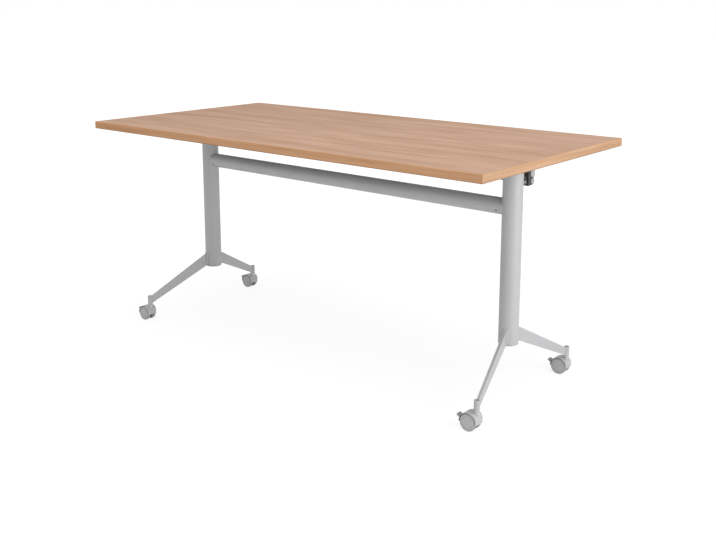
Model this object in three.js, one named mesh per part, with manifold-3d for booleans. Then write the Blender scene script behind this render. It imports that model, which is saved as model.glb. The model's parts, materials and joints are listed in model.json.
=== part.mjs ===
// A flip top training table: a wood-effect board that tips up on two round columns,
// a round cross beam, four blade feet and four twin-wheel castors.
// Millimetres, +X along the table, -Y at the front long edge, +Z up, floor at Z = 0.

import * as THREE from 'three';
import { mergeVertices } from 'three/addons/utils/BufferGeometryUtils.js';
import Module from 'manifold-3d';

const wasm = await Module();
wasm.setup();

// Clearances
const SEAT_GAP = 0.3; // between pieces that are bolted, pressed or glued together
const GLUE_GAP = 0.1; // under the edge strips
const RUN_GAP = 0.3; // around a pin that turns
const JOIN_LAP = 1; // how far two volumes of one piece run into each other

// Table top
const TOP_LENGTH = 1600;
const TOP_DEPTH = 800;
const TOP_THICKNESS = 25;
const TOP_HEIGHT = 750;
const EDGE_STRIP = 2;

// Columns and their end caps
const COLUMN_SPACING = 1307;
const COLUMN_DIAMETER = 60;
const COLUMN_WALL = 2;
const COLUMN_BOTTOM = 170;
const COLUMN_RISE = 10; // tube end above the flip axis
const CAP_THICKNESS = 5;
const CAP_SPIGOT = 12;
const HEAD_SPIGOT = 50;

// Cross beam and its saddles
const BEAM_DIAMETER = 50;
const BEAM_WALL = 2;
const BEAM_DROP = 102; // beam axis below the flip axis
const SADDLE_LENGTH = 10;
const SADDLE_SPIGOT = 40;

// Blade feet, measured at the column's skin and at the socket's skin
const FOOT_THICKNESS = 8;
const FOOT_ROOT_HEIGHT = 45;
const FOOT_TIP_HEIGHT = 26;
const FOOT_TIP_DROP = 1; // below the socket's upper end

// Castor sockets and stems
const CASTOR_SPLAY = 60; // castor axis outside the column axis
const CASTOR_SPACING_Y = 523;
const SOCKET_DIAMETER = 17;
const SOCKET_LENGTH = 36;
const STEM_DIAMETER = 10;
const STEM_LENGTH = 32.3; // above its flange
const STEM_FLANGE_DIAMETER = 16;
const STEM_FLANGE = 2.4;
const SWIVEL_DIAMETER = 8;
const SWIVEL_LENGTH = 17;

// Castors
const CASTOR_TRAIL = 19;
const WHEEL_DIAMETER = 50;
const WHEEL_WIDTH = 12;
const WHEEL_CHAMFER = 2.5;
const WHEEL_RIM = 6.5;
const WHEEL_DISH = 0.8;
const WHEEL_FLOOR = 2.2; // closed outer wall at the end of the bore
const WHEEL_GAP = 0.5;
const AXLE_DIAMETER = 6;
const WEB_WIDTH = 12;
const WEB_RADIUS = 19;
const HOOD_WALL = 1.5;
const HOOD_CLEARANCE = 1.5;
const HOOD_SETBACK = 0.5;
const HOOD_LIP_DROP = 2.5; // lower edge below the axle
const HOOD_CORNER = 17; // radius of the upper leading corner
const BOSS_DIAMETER = 17;

// Castor brakes
const BRAKE_HUB_RADIUS = 4;
const BRAKE_PIVOT_BACK = 17.5; // pivot behind the axle
const BRAKE_PIVOT_RISE = 6; // pivot above the axle
const BRAKE_ARM_INSET = 1.3; // from the web's faces
const BRAKE_TAB_WIDTH = 18;
const BRAKE_TAB_LENGTH = 12;
const BRAKE_TAB_TILT = 30; // degrees, outer end up
const BRAKE_TAB_GAP = 2.5; // between the hood and the tab
const BRAKE_THICKNESS = 5;
const BRAKE_SLOT_MARGIN = 0.6; // past the web's faces
const BRAKE_SLOT_HEIGHT = 20;
const BRAKE_SEAT_BITE = 0.5; // how far the hub sits into its seat in the web

// Flip hinge
const HINGE_DROP = 45; // flip axis below the underside
const PIN_DIAMETER = 12;
const PIN_HEAD_DIAMETER = 20;
const PIN_HEAD = 4;
const PIN_ROOT = 22; // length held in the column head, from the column's axis
const EAR_GAP = 1;
const EAR_THICKNESS = 5;
const EAR_RADIUS = 25;
const EAR_SHOULDER = 45;
const ARM_OVERHANG = 16; // width past the column on each side
const ARM_FRONT = 250;
const ARM_BACK = 250;
const ARM_PLATE = 4;
const ARM_LIP = 3;
const ARM_DEPTH = 14;
const BUFFER_DIAMETER = 16;
const BUFFER_Y = 16;

// Release rod, levers, hooks and keepers
const ROD_SETBACK = 55; // rod axis behind the column's skin
const ROD_DROP = 79; // rod axis below the underside
const ROD_DIAMETER = 16;
const ROD_WALL = 1.5;
const CHEEK_THICKNESS = 3;
const CHEEK_GAP = 2.4; // between the cheek and the lever
const CHEEK_EDGE = 14; // metal left around the rod's hole
const CHEEK_BACK = 70; // behind the rod
const CHEEK_LIFT = 13; // rise of the lower edge towards the back
const LEVER_WIDTH = 28;
const LEVER_OUTER = 14.5; // outer face from the column's centre plane
const LEVER_REACH = 22.3; // front face from the rod axis
const LEVER_DEPTH = 15.3;
const LEVER_RISE = 44;
const LEVER_HUB_RADIUS = 12;
const LEVER_SIDE = 6.3;
const LEVER_POCKET_RISE = 14;
const LEVER_FLOOR = 13; // lower edge below the rod axis
const HOOK_DEPTH = 12;
const NOSE_WIDTH = 10;
const NOSE_REACH = 12.7;
const NOSE_HEIGHT = 7;
const NOSE_SLOPE = 6;
const KEEPER_WIDTH = 24;
const KEEPER_THICKNESS = 8;
const KEEPER_FRONT_GAP = 6.7; // to the lever's front face
const KEEPER_NOSE_GAP = 3; // above the hook's nose
const SPRING_WIRE = 2;
const SPRING_TURNS = 6;
const SPRING_PITCH = 4;

// Facets around a full circle
const ROUND_LARGE = 36;
const ROUND_WHEEL = 28;
const ROUND_SMALL = 16;
const SPRING_STEPS = 8;
const SPRING_SIDES = 5;

// Worked out from the sizes above
const UNDERSIDE = TOP_HEIGHT - TOP_THICKNESS;
const HINGE_Z = UNDERSIDE - HINGE_DROP;
const COLUMN_X = COLUMN_SPACING / 2;
const COLUMN_RADIUS = COLUMN_DIAMETER / 2;
const COLUMN_TOP = HINGE_Z + COLUMN_RISE;
const HEAD_TOP = COLUMN_TOP + CAP_THICKNESS;
const BEAM_RADIUS = BEAM_DIAMETER / 2;
const BEAM_HEIGHT = HINGE_Z - BEAM_DROP;
const BEAM_END = COLUMN_X - COLUMN_RADIUS - SADDLE_LENGTH;
const CASTOR_X = COLUMN_X + CASTOR_SPLAY;
const CASTOR_Y = CASTOR_SPACING_Y / 2;
const WHEEL_RADIUS = WHEEL_DIAMETER / 2;
const WELL_RADIUS = WHEEL_RADIUS + HOOD_CLEARANCE;
const HOOD_RADIUS = WELL_RADIUS + HOOD_WALL;
const BOSS_TOP = WHEEL_RADIUS + HOOD_RADIUS;
const FLANGE_BOTTOM = BOSS_TOP + RUN_GAP;
const FLANGE_TOP = FLANGE_BOTTOM + STEM_FLANGE;
const STEM_RADIUS = STEM_DIAMETER / 2;
const STEM_TOP = FLANGE_TOP + STEM_LENGTH;
const SOCKET_RADIUS = SOCKET_DIAMETER / 2;
const SOCKET_BOTTOM = FLANGE_TOP + SEAT_GAP;
const SOCKET_TOP = SOCKET_BOTTOM + SOCKET_LENGTH;
const FOOT_ROOT_BOTTOM = COLUMN_BOTTOM;
const FOOT_ROOT_TOP = FOOT_ROOT_BOTTOM + FOOT_ROOT_HEIGHT;
const FOOT_TIP_TOP = SOCKET_TOP - FOOT_TIP_DROP;
const FOOT_TIP_BOTTOM = FOOT_TIP_TOP - FOOT_TIP_HEIGHT;
const WHEEL_INNER = WEB_WIDTH / 2 + WHEEL_GAP;
const WHEEL_OUTER = WHEEL_INNER + WHEEL_WIDTH;
const AXLE_REACH = WHEEL_OUTER - WHEEL_DISH - WHEEL_FLOOR;
const BRAKE_PIVOT_X = -CASTOR_TRAIL - BRAKE_PIVOT_BACK;
const BRAKE_PIVOT_Z = WHEEL_RADIUS + BRAKE_PIVOT_RISE;
const BRAKE_TAB_ROOT = -CASTOR_TRAIL - HOOD_RADIUS - BRAKE_TAB_GAP;
const PIN_RADIUS = PIN_DIAMETER / 2;
const EAR_INNER = COLUMN_RADIUS + EAR_GAP;
const EAR_OUTER = EAR_INNER + EAR_THICKNESS;
const ARM_WIDTH = COLUMN_DIAMETER + 2 * ARM_OVERHANG;
const ARM_TOP = UNDERSIDE - SEAT_GAP;
const ARM_UNDER = ARM_TOP - ARM_PLATE;
const ROD_Y = COLUMN_RADIUS + ROD_SETBACK;
const ROD_Z = UNDERSIDE - ROD_DROP;
const ROD_RADIUS = ROD_DIAMETER / 2;
const LEVER_INNER = LEVER_OUTER - LEVER_WIDTH;
const LEVER_FRONT = ROD_Y - LEVER_REACH;
const LEVER_BOTTOM = ROD_Z - LEVER_FLOOR;
const LEVER_POCKET_TOP = ROD_Z + LEVER_POCKET_RISE;
const KEEPER_REACH = LEVER_FRONT - KEEPER_FRONT_GAP;
const KEEPER_BOTTOM = LEVER_BOTTOM + NOSE_HEIGHT + KEEPER_NOSE_GAP;
const CHEEK_OUTER = LEVER_INNER - CHEEK_GAP;
const CHEEK_INNER = CHEEK_OUTER - CHEEK_THICKNESS;
const RIGHT = 1;
const LEFT = -1;
const SIDES = { right: RIGHT, left: LEFT };
const FRONT = -1;
const REAR = 1;
const ENDS = { front: FRONT, rear: REAR };

// Finishes
function finish(color, roughness, metalness) {
  return new THREE.MeshStandardMaterial({ color, roughness, metalness });
}

const BEECH = finish(0xcba88c, 0.5, 0);
const BEECH_EDGE = finish(0xd2a57c, 0.5, 0);
const SILVER_PAINT = finish(0xb4b5b7, 0.45, 0.3);
const GREY_PLASTIC = finish(0x9d9ea0, 0.55, 0);
const DARK_PLASTIC = finish(0x6f7072, 0.6, 0);
const BLACK_PLASTIC = finish(0x1d1e20, 0.5, 0);
const BLACK_RUBBER = finish(0x2a2a2a, 0.9, 0);
const BRIGHT_STEEL = finish(0xc3c5c8, 0.3, 0.9);
const CAST_ALLOY = finish(0xa9abae, 0.5, 0.7);

// Closed solids from three.js geometry

// Position and index only, with shared vertices merged and empty triangles dropped.
function tidyGeometry(geometry) {
  const bare = geometry.clone();
  bare.deleteAttribute('normal');
  bare.deleteAttribute('uv');
  const merged = mergeVertices(bare);
  const index = merged.getIndex().array;
  const kept = [];
  for (let i = 0; i < index.length; i += 3) {
    const [a, b, c] = [index[i], index[i + 1], index[i + 2]];
    if (a !== b && b !== c && c !== a) {
      kept.push(a, b, c);
    }
  }
  merged.setIndex(kept);
  return merged;
}

function toSolid(geometry) {
  const clean = tidyGeometry(geometry);
  return new wasm.Manifold(new wasm.Mesh({
    numProp: 3,
    vertProperties: new Float32Array(clean.getAttribute('position').array),
    triVerts: new Uint32Array(clean.getIndex().array),
  }));
}

function toGeometry(solid) {
  const mesh = solid.getMesh();
  const geometry = new THREE.BufferGeometry();
  geometry.setAttribute('position', new THREE.BufferAttribute(mesh.vertProperties, 3));
  geometry.setIndex(new THREE.BufferAttribute(mesh.triVerts, 1));
  return geometry;
}

function join(...geometries) {
  return toGeometry(geometries.map(toSolid).reduce((whole, next) => whole.add(next)));
}

function cut(geometry, ...tools) {
  return toGeometry(tools.map(toSolid).reduce((rest, tool) => rest.subtract(tool), toSolid(geometry)));
}

// A turned solid about Z. The profile holds [radius, height] pairs.
function turned(profile, facets) {
  const points = profile.map(([radius, height]) => new THREE.Vector2(radius, height));
  return new THREE.LatheGeometry(points, facets).rotateX(Math.PI / 2);
}

function tube(outer, inner, bottom, top, facets) {
  return turned([[inner, bottom], [outer, bottom], [outer, top], [inner, top], [inner, bottom]], facets);
}

function rodAlongX(radius, from, to, facets) {
  const length = to - from;
  return new THREE.CylinderGeometry(radius, radius, length, facets)
    .rotateZ(-Math.PI / 2)
    .translate(from + length / 2, 0, 0);
}

function rodAlongY(radius, from, to, facets) {
  const length = to - from;
  return new THREE.CylinderGeometry(radius, radius, length, facets).translate(0, from + length / 2, 0);
}

function rodAlongZ(radius, from, to, facets) {
  const length = to - from;
  return new THREE.CylinderGeometry(radius, radius, length, facets)
    .rotateX(Math.PI / 2)
    .translate(0, 0, from + length / 2);
}

function block([x0, x1], [y0, y1], [z0, z1]) {
  return new THREE.BoxGeometry(Math.abs(x1 - x0), Math.abs(y1 - y0), Math.abs(z1 - z0))
    .translate((x0 + x1) / 2, (y0 + y1) / 2, (z0 + z1) / 2);
}

function outline(points) {
  return new THREE.Shape(points.map(([u, v]) => new THREE.Vector2(u, v)));
}

function extruded(shape, depth) {
  return new THREE.ExtrudeGeometry(shape, { depth, bevelEnabled: false, curveSegments: ROUND_SMALL / 2 });
}

// A plate whose outline lies in the Y-Z plane, between two places along X.
const ONTO_YZ = new THREE.Matrix4().makeBasis(
  new THREE.Vector3(0, 1, 0),
  new THREE.Vector3(0, 0, 1),
  new THREE.Vector3(1, 0, 0),
);

function plateAcrossX(shape, from, to) {
  const low = Math.min(from, to);
  const high = Math.max(from, to);
  return extruded(shape, high - low).applyMatrix4(ONTO_YZ).translate(low, 0, 0);
}

// A plate whose outline lies in the X-Z plane, between two places along Y.
const ONTO_XZ = new THREE.Matrix4().makeBasis(
  new THREE.Vector3(1, 0, 0),
  new THREE.Vector3(0, 0, 1),
  new THREE.Vector3(0, -1, 0),
);

function plateAcrossY(shape, from, to) {
  return extruded(shape, to - from).applyMatrix4(ONTO_XZ).translate(0, to, 0);
}

const table = new THREE.Group();

function addPiece(parent, name, geometry, material) {
  const mesh = new THREE.Mesh(tidyGeometry(geometry), material);
  mesh.name = name;
  parent.add(mesh);
}

// Table top: a core board with an edge strip glued on each side

function addTop() {
  const halfLength = TOP_LENGTH / 2;
  const halfDepth = TOP_DEPTH / 2;
  const coreX = halfLength - EDGE_STRIP - GLUE_GAP;
  const coreY = halfDepth - EDGE_STRIP - GLUE_GAP;
  const height = [UNDERSIDE, TOP_HEIGHT];
  addPiece(table, 'top_board', block([-coreX, coreX], [-coreY, coreY], height), BEECH);
  for (const [name, way] of [['front', FRONT], ['back', REAR]]) {
    const depth = [way * (halfDepth - EDGE_STRIP), way * halfDepth];
    addPiece(table, `edge_strip_${name}`, block([-halfLength, halfLength], depth, height), BEECH_EDGE);
  }
  for (const [name, side] of Object.entries(SIDES)) {
    const length = [side * (halfLength - EDGE_STRIP), side * halfLength];
    addPiece(table, `edge_strip_${name}`, block(length, [-coreY, coreY], height), BEECH_EDGE);
  }
}

// Leg: column tube, caps, pivot pin, stop buffer and keeper

// The hole for the pivot pin, open towards the middle of the table.
function pinHole(side, clearance) {
  const reach = [-side * COLUMN_DIAMETER, side * (PIN_ROOT + clearance)].sort((a, b) => a - b);
  return rodAlongX(PIN_RADIUS + clearance, ...reach, ROUND_SMALL).translate(0, 0, HINGE_Z);
}

function columnTube(side) {
  const wall = tube(COLUMN_RADIUS, COLUMN_RADIUS - COLUMN_WALL, COLUMN_BOTTOM, COLUMN_TOP, ROUND_LARGE);
  return cut(wall, pinHole(side, SEAT_GAP));
}

function columnCap() {
  const spigot = COLUMN_RADIUS - COLUMN_WALL - SEAT_GAP;
  const seat = COLUMN_BOTTOM - SEAT_GAP;
  return turned([
    [0, COLUMN_BOTTOM - CAP_THICKNESS],
    [COLUMN_RADIUS, COLUMN_BOTTOM - CAP_THICKNESS],
    [COLUMN_RADIUS, seat],
    [spigot, seat],
    [spigot, seat + CAP_SPIGOT],
    [0, seat + CAP_SPIGOT],
  ], ROUND_LARGE);
}

function columnHead(side) {
  const spigot = COLUMN_RADIUS - COLUMN_WALL - SEAT_GAP;
  const seat = COLUMN_TOP + SEAT_GAP;
  const plug = turned([
    [0, seat - HEAD_SPIGOT],
    [spigot, seat - HEAD_SPIGOT],
    [spigot, seat],
    [COLUMN_RADIUS, seat],
    [COLUMN_RADIUS, HEAD_TOP],
    [0, HEAD_TOP],
  ], ROUND_LARGE);
  return cut(plug, pinHole(side, SEAT_GAP));
}

// A stub pin held in the column head, with its head outside the arm's ear.
function pivotPin(side) {
  const neck = EAR_OUTER + RUN_GAP;
  const head = PIN_HEAD_DIAMETER / 2;
  return turned([
    [0, -PIN_ROOT],
    [PIN_RADIUS, -PIN_ROOT],
    [PIN_RADIUS, neck],
    [head, neck],
    [head, neck + PIN_HEAD],
    [0, neck + PIN_HEAD],
  ], ROUND_SMALL).rotateY(-side * Math.PI / 2).translate(0, 0, HINGE_Z);
}

function stopBuffer() {
  return rodAlongZ(BUFFER_DIAMETER / 2, HEAD_TOP + SEAT_GAP, ARM_UNDER - SEAT_GAP, ROUND_SMALL)
    .translate(0, BUFFER_Y, 0);
}

function latchKeeper() {
  const bar = block(
    [-KEEPER_WIDTH / 2, KEEPER_WIDTH / 2],
    [0, KEEPER_REACH],
    [KEEPER_BOTTOM, KEEPER_BOTTOM + KEEPER_THICKNESS],
  );
  return cut(bar, rodAlongZ(COLUMN_RADIUS + SEAT_GAP, 0, TOP_HEIGHT, ROUND_LARGE));
}

function addLeg(name, side) {
  const leg = new THREE.Group();
  leg.position.x = side * COLUMN_X;
  table.add(leg);
  addPiece(leg, `column_${name}`, columnTube(side), SILVER_PAINT);
  addPiece(leg, `column_cap_${name}`, columnCap(), GREY_PLASTIC);
  addPiece(leg, `column_head_${name}`, columnHead(side), CAST_ALLOY);
  addPiece(leg, `pivot_pin_${name}`, pivotPin(side), BRIGHT_STEEL);
  addPiece(leg, `stop_buffer_${name}`, stopBuffer(), BLACK_RUBBER);
  addPiece(leg, `latch_keeper_${name}`, latchKeeper(), SILVER_PAINT);
}

// Cross beam on two saddles that fit its ends to the round columns

function beamSaddle(side) {
  const seat = BEAM_END + SEAT_GAP;
  const spigot = BEAM_RADIUS - BEAM_WALL - SEAT_GAP;
  const body = turned([
    [0, seat - SADDLE_SPIGOT],
    [spigot, seat - SADDLE_SPIGOT],
    [spigot, seat],
    [BEAM_RADIUS, seat],
    [BEAM_RADIUS, COLUMN_X],
    [0, COLUMN_X],
  ], ROUND_LARGE).rotateY(Math.PI / 2).translate(0, 0, BEAM_HEIGHT);
  const column = rodAlongZ(COLUMN_RADIUS + SEAT_GAP, 0, TOP_HEIGHT, ROUND_LARGE).translate(COLUMN_X, 0, 0);
  return cut(body, column).rotateZ(side === RIGHT ? 0 : Math.PI);
}

function addBeam() {
  const wall = tube(BEAM_RADIUS, BEAM_RADIUS - BEAM_WALL, -BEAM_END, BEAM_END, ROUND_LARGE)
    .rotateY(Math.PI / 2)
    .translate(0, 0, BEAM_HEIGHT);
  addPiece(table, 'cross_beam', wall, SILVER_PAINT);
  for (const [name, side] of Object.entries(SIDES)) {
    addPiece(table, `beam_saddle_${name}`, beamSaddle(side), SILVER_PAINT);
  }
}

// Blade foot: a tapered plate from the column to the castor socket

function footBlade(side, end) {
  const run = new THREE.Vector2(side * (CASTOR_X - COLUMN_X), end * CASTOR_Y);
  const reach = run.length();
  const root = COLUMN_RADIUS;
  const tip = reach - SOCKET_RADIUS;
  const heightAt = (r, rootZ, tipZ) => rootZ + (tipZ - rootZ) * (r - root) / (tip - root);
  const start = root / 2;
  const side2d = outline([
    [start, heightAt(start, FOOT_ROOT_BOTTOM, FOOT_TIP_BOTTOM)],
    [reach, heightAt(reach, FOOT_ROOT_BOTTOM, FOOT_TIP_BOTTOM)],
    [reach, heightAt(reach, FOOT_ROOT_TOP, FOOT_TIP_TOP)],
    [start, heightAt(start, FOOT_ROOT_TOP, FOOT_TIP_TOP)],
  ]);
  const along = new THREE.Vector3(run.x, run.y, 0).normalize();
  const up = new THREE.Vector3(0, 0, 1);
  const across = new THREE.Vector3().crossVectors(along, up);
  const blade = extruded(side2d, FOOT_THICKNESS)
    .translate(0, 0, -FOOT_THICKNESS / 2)
    .applyMatrix4(new THREE.Matrix4().makeBasis(along, up, across));
  const column = rodAlongZ(COLUMN_RADIUS + SEAT_GAP, 0, TOP_HEIGHT, ROUND_LARGE);
  const socket = rodAlongZ(SOCKET_RADIUS + SEAT_GAP, 0, TOP_HEIGHT, ROUND_SMALL).translate(run.x, run.y, 0);
  return cut(blade, column, socket).translate(side * COLUMN_X, 0, 0);
}

// Castor: stem, hood, axle, two wheels and a brake lever.
// The stem axis is the castor's own Z axis and the wheels trail towards -X.

function castorStem() {
  const flange = STEM_FLANGE_DIAMETER / 2;
  const swivel = SWIVEL_DIAMETER / 2;
  return turned([
    [0, FLANGE_BOTTOM - SWIVEL_LENGTH],
    [swivel, FLANGE_BOTTOM - SWIVEL_LENGTH],
    [swivel, FLANGE_BOTTOM],
    [flange, FLANGE_BOTTOM],
    [flange, FLANGE_TOP],
    [STEM_RADIUS, FLANGE_TOP],
    [STEM_RADIUS, STEM_TOP],
    [0, STEM_TOP],
  ], ROUND_SMALL);
}

// Round the wheels behind and above, with a fuller corner under the stem. The axle is at the origin.
function hoodOutline() {
  const corner = HOOD_RADIUS - HOOD_CORNER;
  const hood = new THREE.Shape();
  hood.moveTo(HOOD_RADIUS, -HOOD_LIP_DROP);
  hood.lineTo(HOOD_RADIUS, corner);
  hood.absarc(corner, corner, HOOD_CORNER, 0, Math.PI / 2, false);
  hood.absarc(0, 0, HOOD_RADIUS, Math.PI / 2, Math.PI + Math.asin(HOOD_LIP_DROP / HOOD_RADIUS), false);
  hood.closePath();
  return hood;
}

function castorHood() {
  const atAxle = (geometry) => geometry.translate(-CASTOR_TRAIL, 0, WHEEL_RADIUS);
  const halfWidth = WHEEL_OUTER - HOOD_SETBACK;
  const shell = atAxle(plateAcrossY(hoodOutline(), -halfWidth, halfWidth));
  const web =atAxle(rodAlongY(WEB_RADIUS, -WEB_WIDTH / 2, WEB_WIDTH / 2, ROUND_WHEEL));
  const boss = rodAlongZ(BOSS_DIAMETER / 2, WHEEL_RADIUS, BOSS_TOP, ROUND_SMALL);
  const wells = [FRONT, REAR].map((end) => {
    const reach = [end * WEB_WIDTH / 2, end * (WHEEL_OUTER + WHEEL_WIDTH)].sort((a, b) => a - b);
    return atAxle(rodAlongY(WELL_RADIUS, ...reach, ROUND_WHEEL));
  });
  const swivelBottom = FLANGE_BOTTOM - SWIVEL_LENGTH - RUN_GAP;
  const swivelBore = rodAlongZ(SWIVEL_DIAMETER / 2 + RUN_GAP, swivelBottom, TOP_HEIGHT, ROUND_SMALL);
  const axleBore = atAxle(rodAlongY(AXLE_DIAMETER / 2 + SEAT_GAP, -WHEEL_OUTER, WHEEL_OUTER, ROUND_SMALL));
  const slotHalf = WEB_WIDTH / 2 + BRAKE_SLOT_MARGIN;
  const slotBack = BRAKE_PIVOT_X + BRAKE_HUB_RADIUS - BRAKE_SEAT_BITE;
  const slot = block(
    [BRAKE_TAB_ROOT, slotBack],
    [-slotHalf, slotHalf],
    [BRAKE_PIVOT_Z - BRAKE_SLOT_HEIGHT / 2, BRAKE_PIVOT_Z + BRAKE_SLOT_HEIGHT / 2],
  );
  const seat = rodAlongY(BRAKE_HUB_RADIUS + RUN_GAP, -slotHalf, slotHalf, ROUND_SMALL)
    .translate(BRAKE_PIVOT_X, 0, BRAKE_PIVOT_Z);
  return cut(join(shell, web, boss), ...wells, swivelBore, axleBore, slot, seat);
}

function castorAxle() {
  return rodAlongY(AXLE_DIAMETER / 2, -AXLE_REACH + SEAT_GAP, AXLE_REACH - SEAT_GAP, ROUND_SMALL)
    .translate(-CASTOR_TRAIL, 0, WHEEL_RADIUS);
}

// One wheel, closed on its outer face, with a blind bore for the axle.
function castorWheel(end) {
  const bore = AXLE_DIAMETER / 2 + RUN_GAP;
  const face = WHEEL_RADIUS - WHEEL_RIM;
  const wheel = turned([
    [0, AXLE_REACH],
    [bore, AXLE_REACH],
    [bore, WHEEL_INNER],
    [WHEEL_RADIUS - WHEEL_CHAMFER, WHEEL_INNER],
    [WHEEL_RADIUS, WHEEL_INNER + WHEEL_CHAMFER],
    [WHEEL_RADIUS, WHEEL_OUTER - WHEEL_CHAMFER],
    [WHEEL_RADIUS - WHEEL_CHAMFER, WHEEL_OUTER],
    [face, WHEEL_OUTER],
    [face - WHEEL_DISH, WHEEL_OUTER - WHEEL_DISH],
    [0, WHEEL_OUTER - WHEEL_DISH],
  ], ROUND_WHEEL);
  return wheel.rotateX(-end * Math.PI / 2).translate(-CASTOR_TRAIL, 0, WHEEL_RADIUS);
}

// A lever that reaches out through the hood's slot to a raised tab.
function brakeLever() {
  const armHalf = WEB_WIDTH / 2 - BRAKE_ARM_INSET;
  const tabHalf = BRAKE_TAB_WIDTH / 2;
  const half = BRAKE_THICKNESS / 2;
  const hub = rodAlongY(BRAKE_HUB_RADIUS, -armHalf, armHalf, ROUND_SMALL).translate(BRAKE_PIVOT_X, 0, 0);
  const arm = block([BRAKE_TAB_ROOT - JOIN_LAP, BRAKE_PIVOT_X], [-armHalf, armHalf], [-half, half]);
  const tab = block([-BRAKE_TAB_LENGTH, 0], [-tabHalf, tabHalf], [-half, half])
    .rotateY(THREE.MathUtils.degToRad(BRAKE_TAB_TILT))
    .translate(BRAKE_TAB_ROOT, 0, 0);
  return join(hub, arm, tab).translate(0, 0, BRAKE_PIVOT_Z);
}

function addCorner(endName, end, sideName, side) {
  const corner = `${endName}_${sideName}`;
  addPiece(table, `foot_${corner}`, footBlade(side, end), SILVER_PAINT);
  const castor = new THREE.Group();
  castor.position.set(side * CASTOR_X, end * CASTOR_Y, 0);
  table.add(castor);
  const socket = tube(SOCKET_RADIUS, STEM_RADIUS + SEAT_GAP, SOCKET_BOTTOM, SOCKET_TOP, ROUND_SMALL);
  addPiece(castor, `castor_socket_${corner}`, socket, SILVER_PAINT);
  addPiece(castor, `castor_stem_${corner}`, castorStem(), BRIGHT_STEEL);
  addPiece(castor, `castor_hood_${corner}`, castorHood(), GREY_PLASTIC);
  addPiece(castor, `castor_axle_${corner}`, castorAxle(), BRIGHT_STEEL);
  addPiece(castor, `wheel_fore_${corner}`, castorWheel(FRONT), GREY_PLASTIC);
  addPiece(castor, `wheel_aft_${corner}`, castorWheel(REAR), GREY_PLASTIC);
  addPiece(castor, `brake_lever_${corner}`, brakeLever(), DARK_PLASTIC);
}

// Support arm: a shallow channel under the board, an ear on the pivot pin and a cheek for the rod

function earOutline() {
  const ear = new THREE.Shape();
  const top = ARM_UNDER + JOIN_LAP;
  ear.moveTo(EAR_SHOULDER, top);
  ear.lineTo(-EAR_SHOULDER, top);
  ear.lineTo(-EAR_RADIUS, HINGE_Z);
  ear.absarc(0, HINGE_Z, EAR_RADIUS, Math.PI, 2 * Math.PI, false);
  ear.closePath();
  return ear;
}

function cheekOutline() {
  const bottom = ROD_Z - CHEEK_EDGE;
  const back = ROD_Y + CHEEK_BACK;
  return outline([
    [LEVER_FRONT, bottom],
    [ROD_Y + CHEEK_EDGE, bottom],
    [back, bottom + CHEEK_LIFT],
    [back, ARM_UNDER + JOIN_LAP],
    [LEVER_FRONT, ARM_UNDER + JOIN_LAP],
  ]);
}

function supportArm(side) {
  const half = ARM_WIDTH / 2;
  const run = [-ARM_FRONT, ARM_BACK];
  const plate = block([-half, half], run, [ARM_UNDER, ARM_TOP]);
  const lips = [LEFT, RIGHT].map((way) =>
    block([way * (half - ARM_LIP), way * half], run, [ARM_TOP - ARM_DEPTH, ARM_UNDER + JOIN_LAP]));
  const ear = plateAcrossX(earOutline(), -side * EAR_INNER, -side * EAR_OUTER);
  const cheek = plateAcrossX(cheekOutline(), side * CHEEK_INNER, side * CHEEK_OUTER);
  const rodHole = rodAlongX(ROD_RADIUS + RUN_GAP, -ARM_WIDTH, ARM_WIDTH, ROUND_SMALL)
    .translate(0, ROD_Y, ROD_Z);
  const arm = cut(join(plate, ...lips, ear, cheek), pinHole(side, RUN_GAP), rodHole);
  return arm.translate(side * COLUMN_X, 0, 0);
}

// Release gear: one rod behind both columns, with a lever and a hook at each end

function leverOutline() {
  const top = ROD_Z + LEVER_RISE;
  const back = LEVER_FRONT + LEVER_DEPTH;
  const lever = new THREE.Shape();
  lever.moveTo(LEVER_FRONT, LEVER_BOTTOM);
  lever.lineTo(ROD_Y, ROD_Z - LEVER_HUB_RADIUS);
  lever.absarc(ROD_Y, ROD_Z, LEVER_HUB_RADIUS, -Math.PI / 2, Math.PI / 2, false);
  lever.lineTo(back, LEVER_POCKET_TOP);
  lever.lineTo(back, top);
  lever.lineTo(LEVER_FRONT, top);
  lever.closePath();
  return lever;
}

function releaseLever(side) {
  const body = plateAcrossX(leverOutline(), side * LEVER_INNER, side * LEVER_OUTER);
  const pocketSide = LEVER_OUTER - LEVER_SIDE;
  const pocket = block(
    [side * (LEVER_INNER - JOIN_LAP), side * pocketSide],
    [LEVER_FRONT - JOIN_LAP, LEVER_FRONT + HOOK_DEPTH + SEAT_GAP],
    [LEVER_BOTTOM - JOIN_LAP, LEVER_POCKET_TOP],
  );
  const rodHole = rodAlongX(ROD_RADIUS + SEAT_GAP, -LEVER_WIDTH, LEVER_WIDTH, ROUND_SMALL)
    .translate(0, ROD_Y, ROD_Z);
  return cut(body, pocket, rodHole).translate(side * COLUMN_X, 0, 0);
}

// The nose follows the outside of the keeper's path, so that the top swings clear of it.
function latchHook(side) {
  const inner = LEVER_INNER + JOIN_LAP;
  const outer = LEVER_OUTER - LEVER_SIDE - SEAT_GAP;
  const body = block(
    [side * inner, side * outer],
    [LEVER_FRONT, LEVER_FRONT + HOOK_DEPTH],
    [LEVER_BOTTOM, LEVER_POCKET_TOP - SEAT_GAP],
  );
  const tip = LEVER_FRONT - NOSE_REACH;
  const nose = outline([
    [tip, LEVER_BOTTOM],
    [LEVER_FRONT + JOIN_LAP, LEVER_BOTTOM],
    [LEVER_FRONT + JOIN_LAP, LEVER_BOTTOM + NOSE_HEIGHT],
    [tip + NOSE_SLOPE, LEVER_BOTTOM + NOSE_HEIGHT],
  ]);
  return join(body, plateAcrossX(nose, side * inner, side * (inner + NOSE_WIDTH)))
    .translate(side * COLUMN_X, 0, 0);
}

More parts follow.
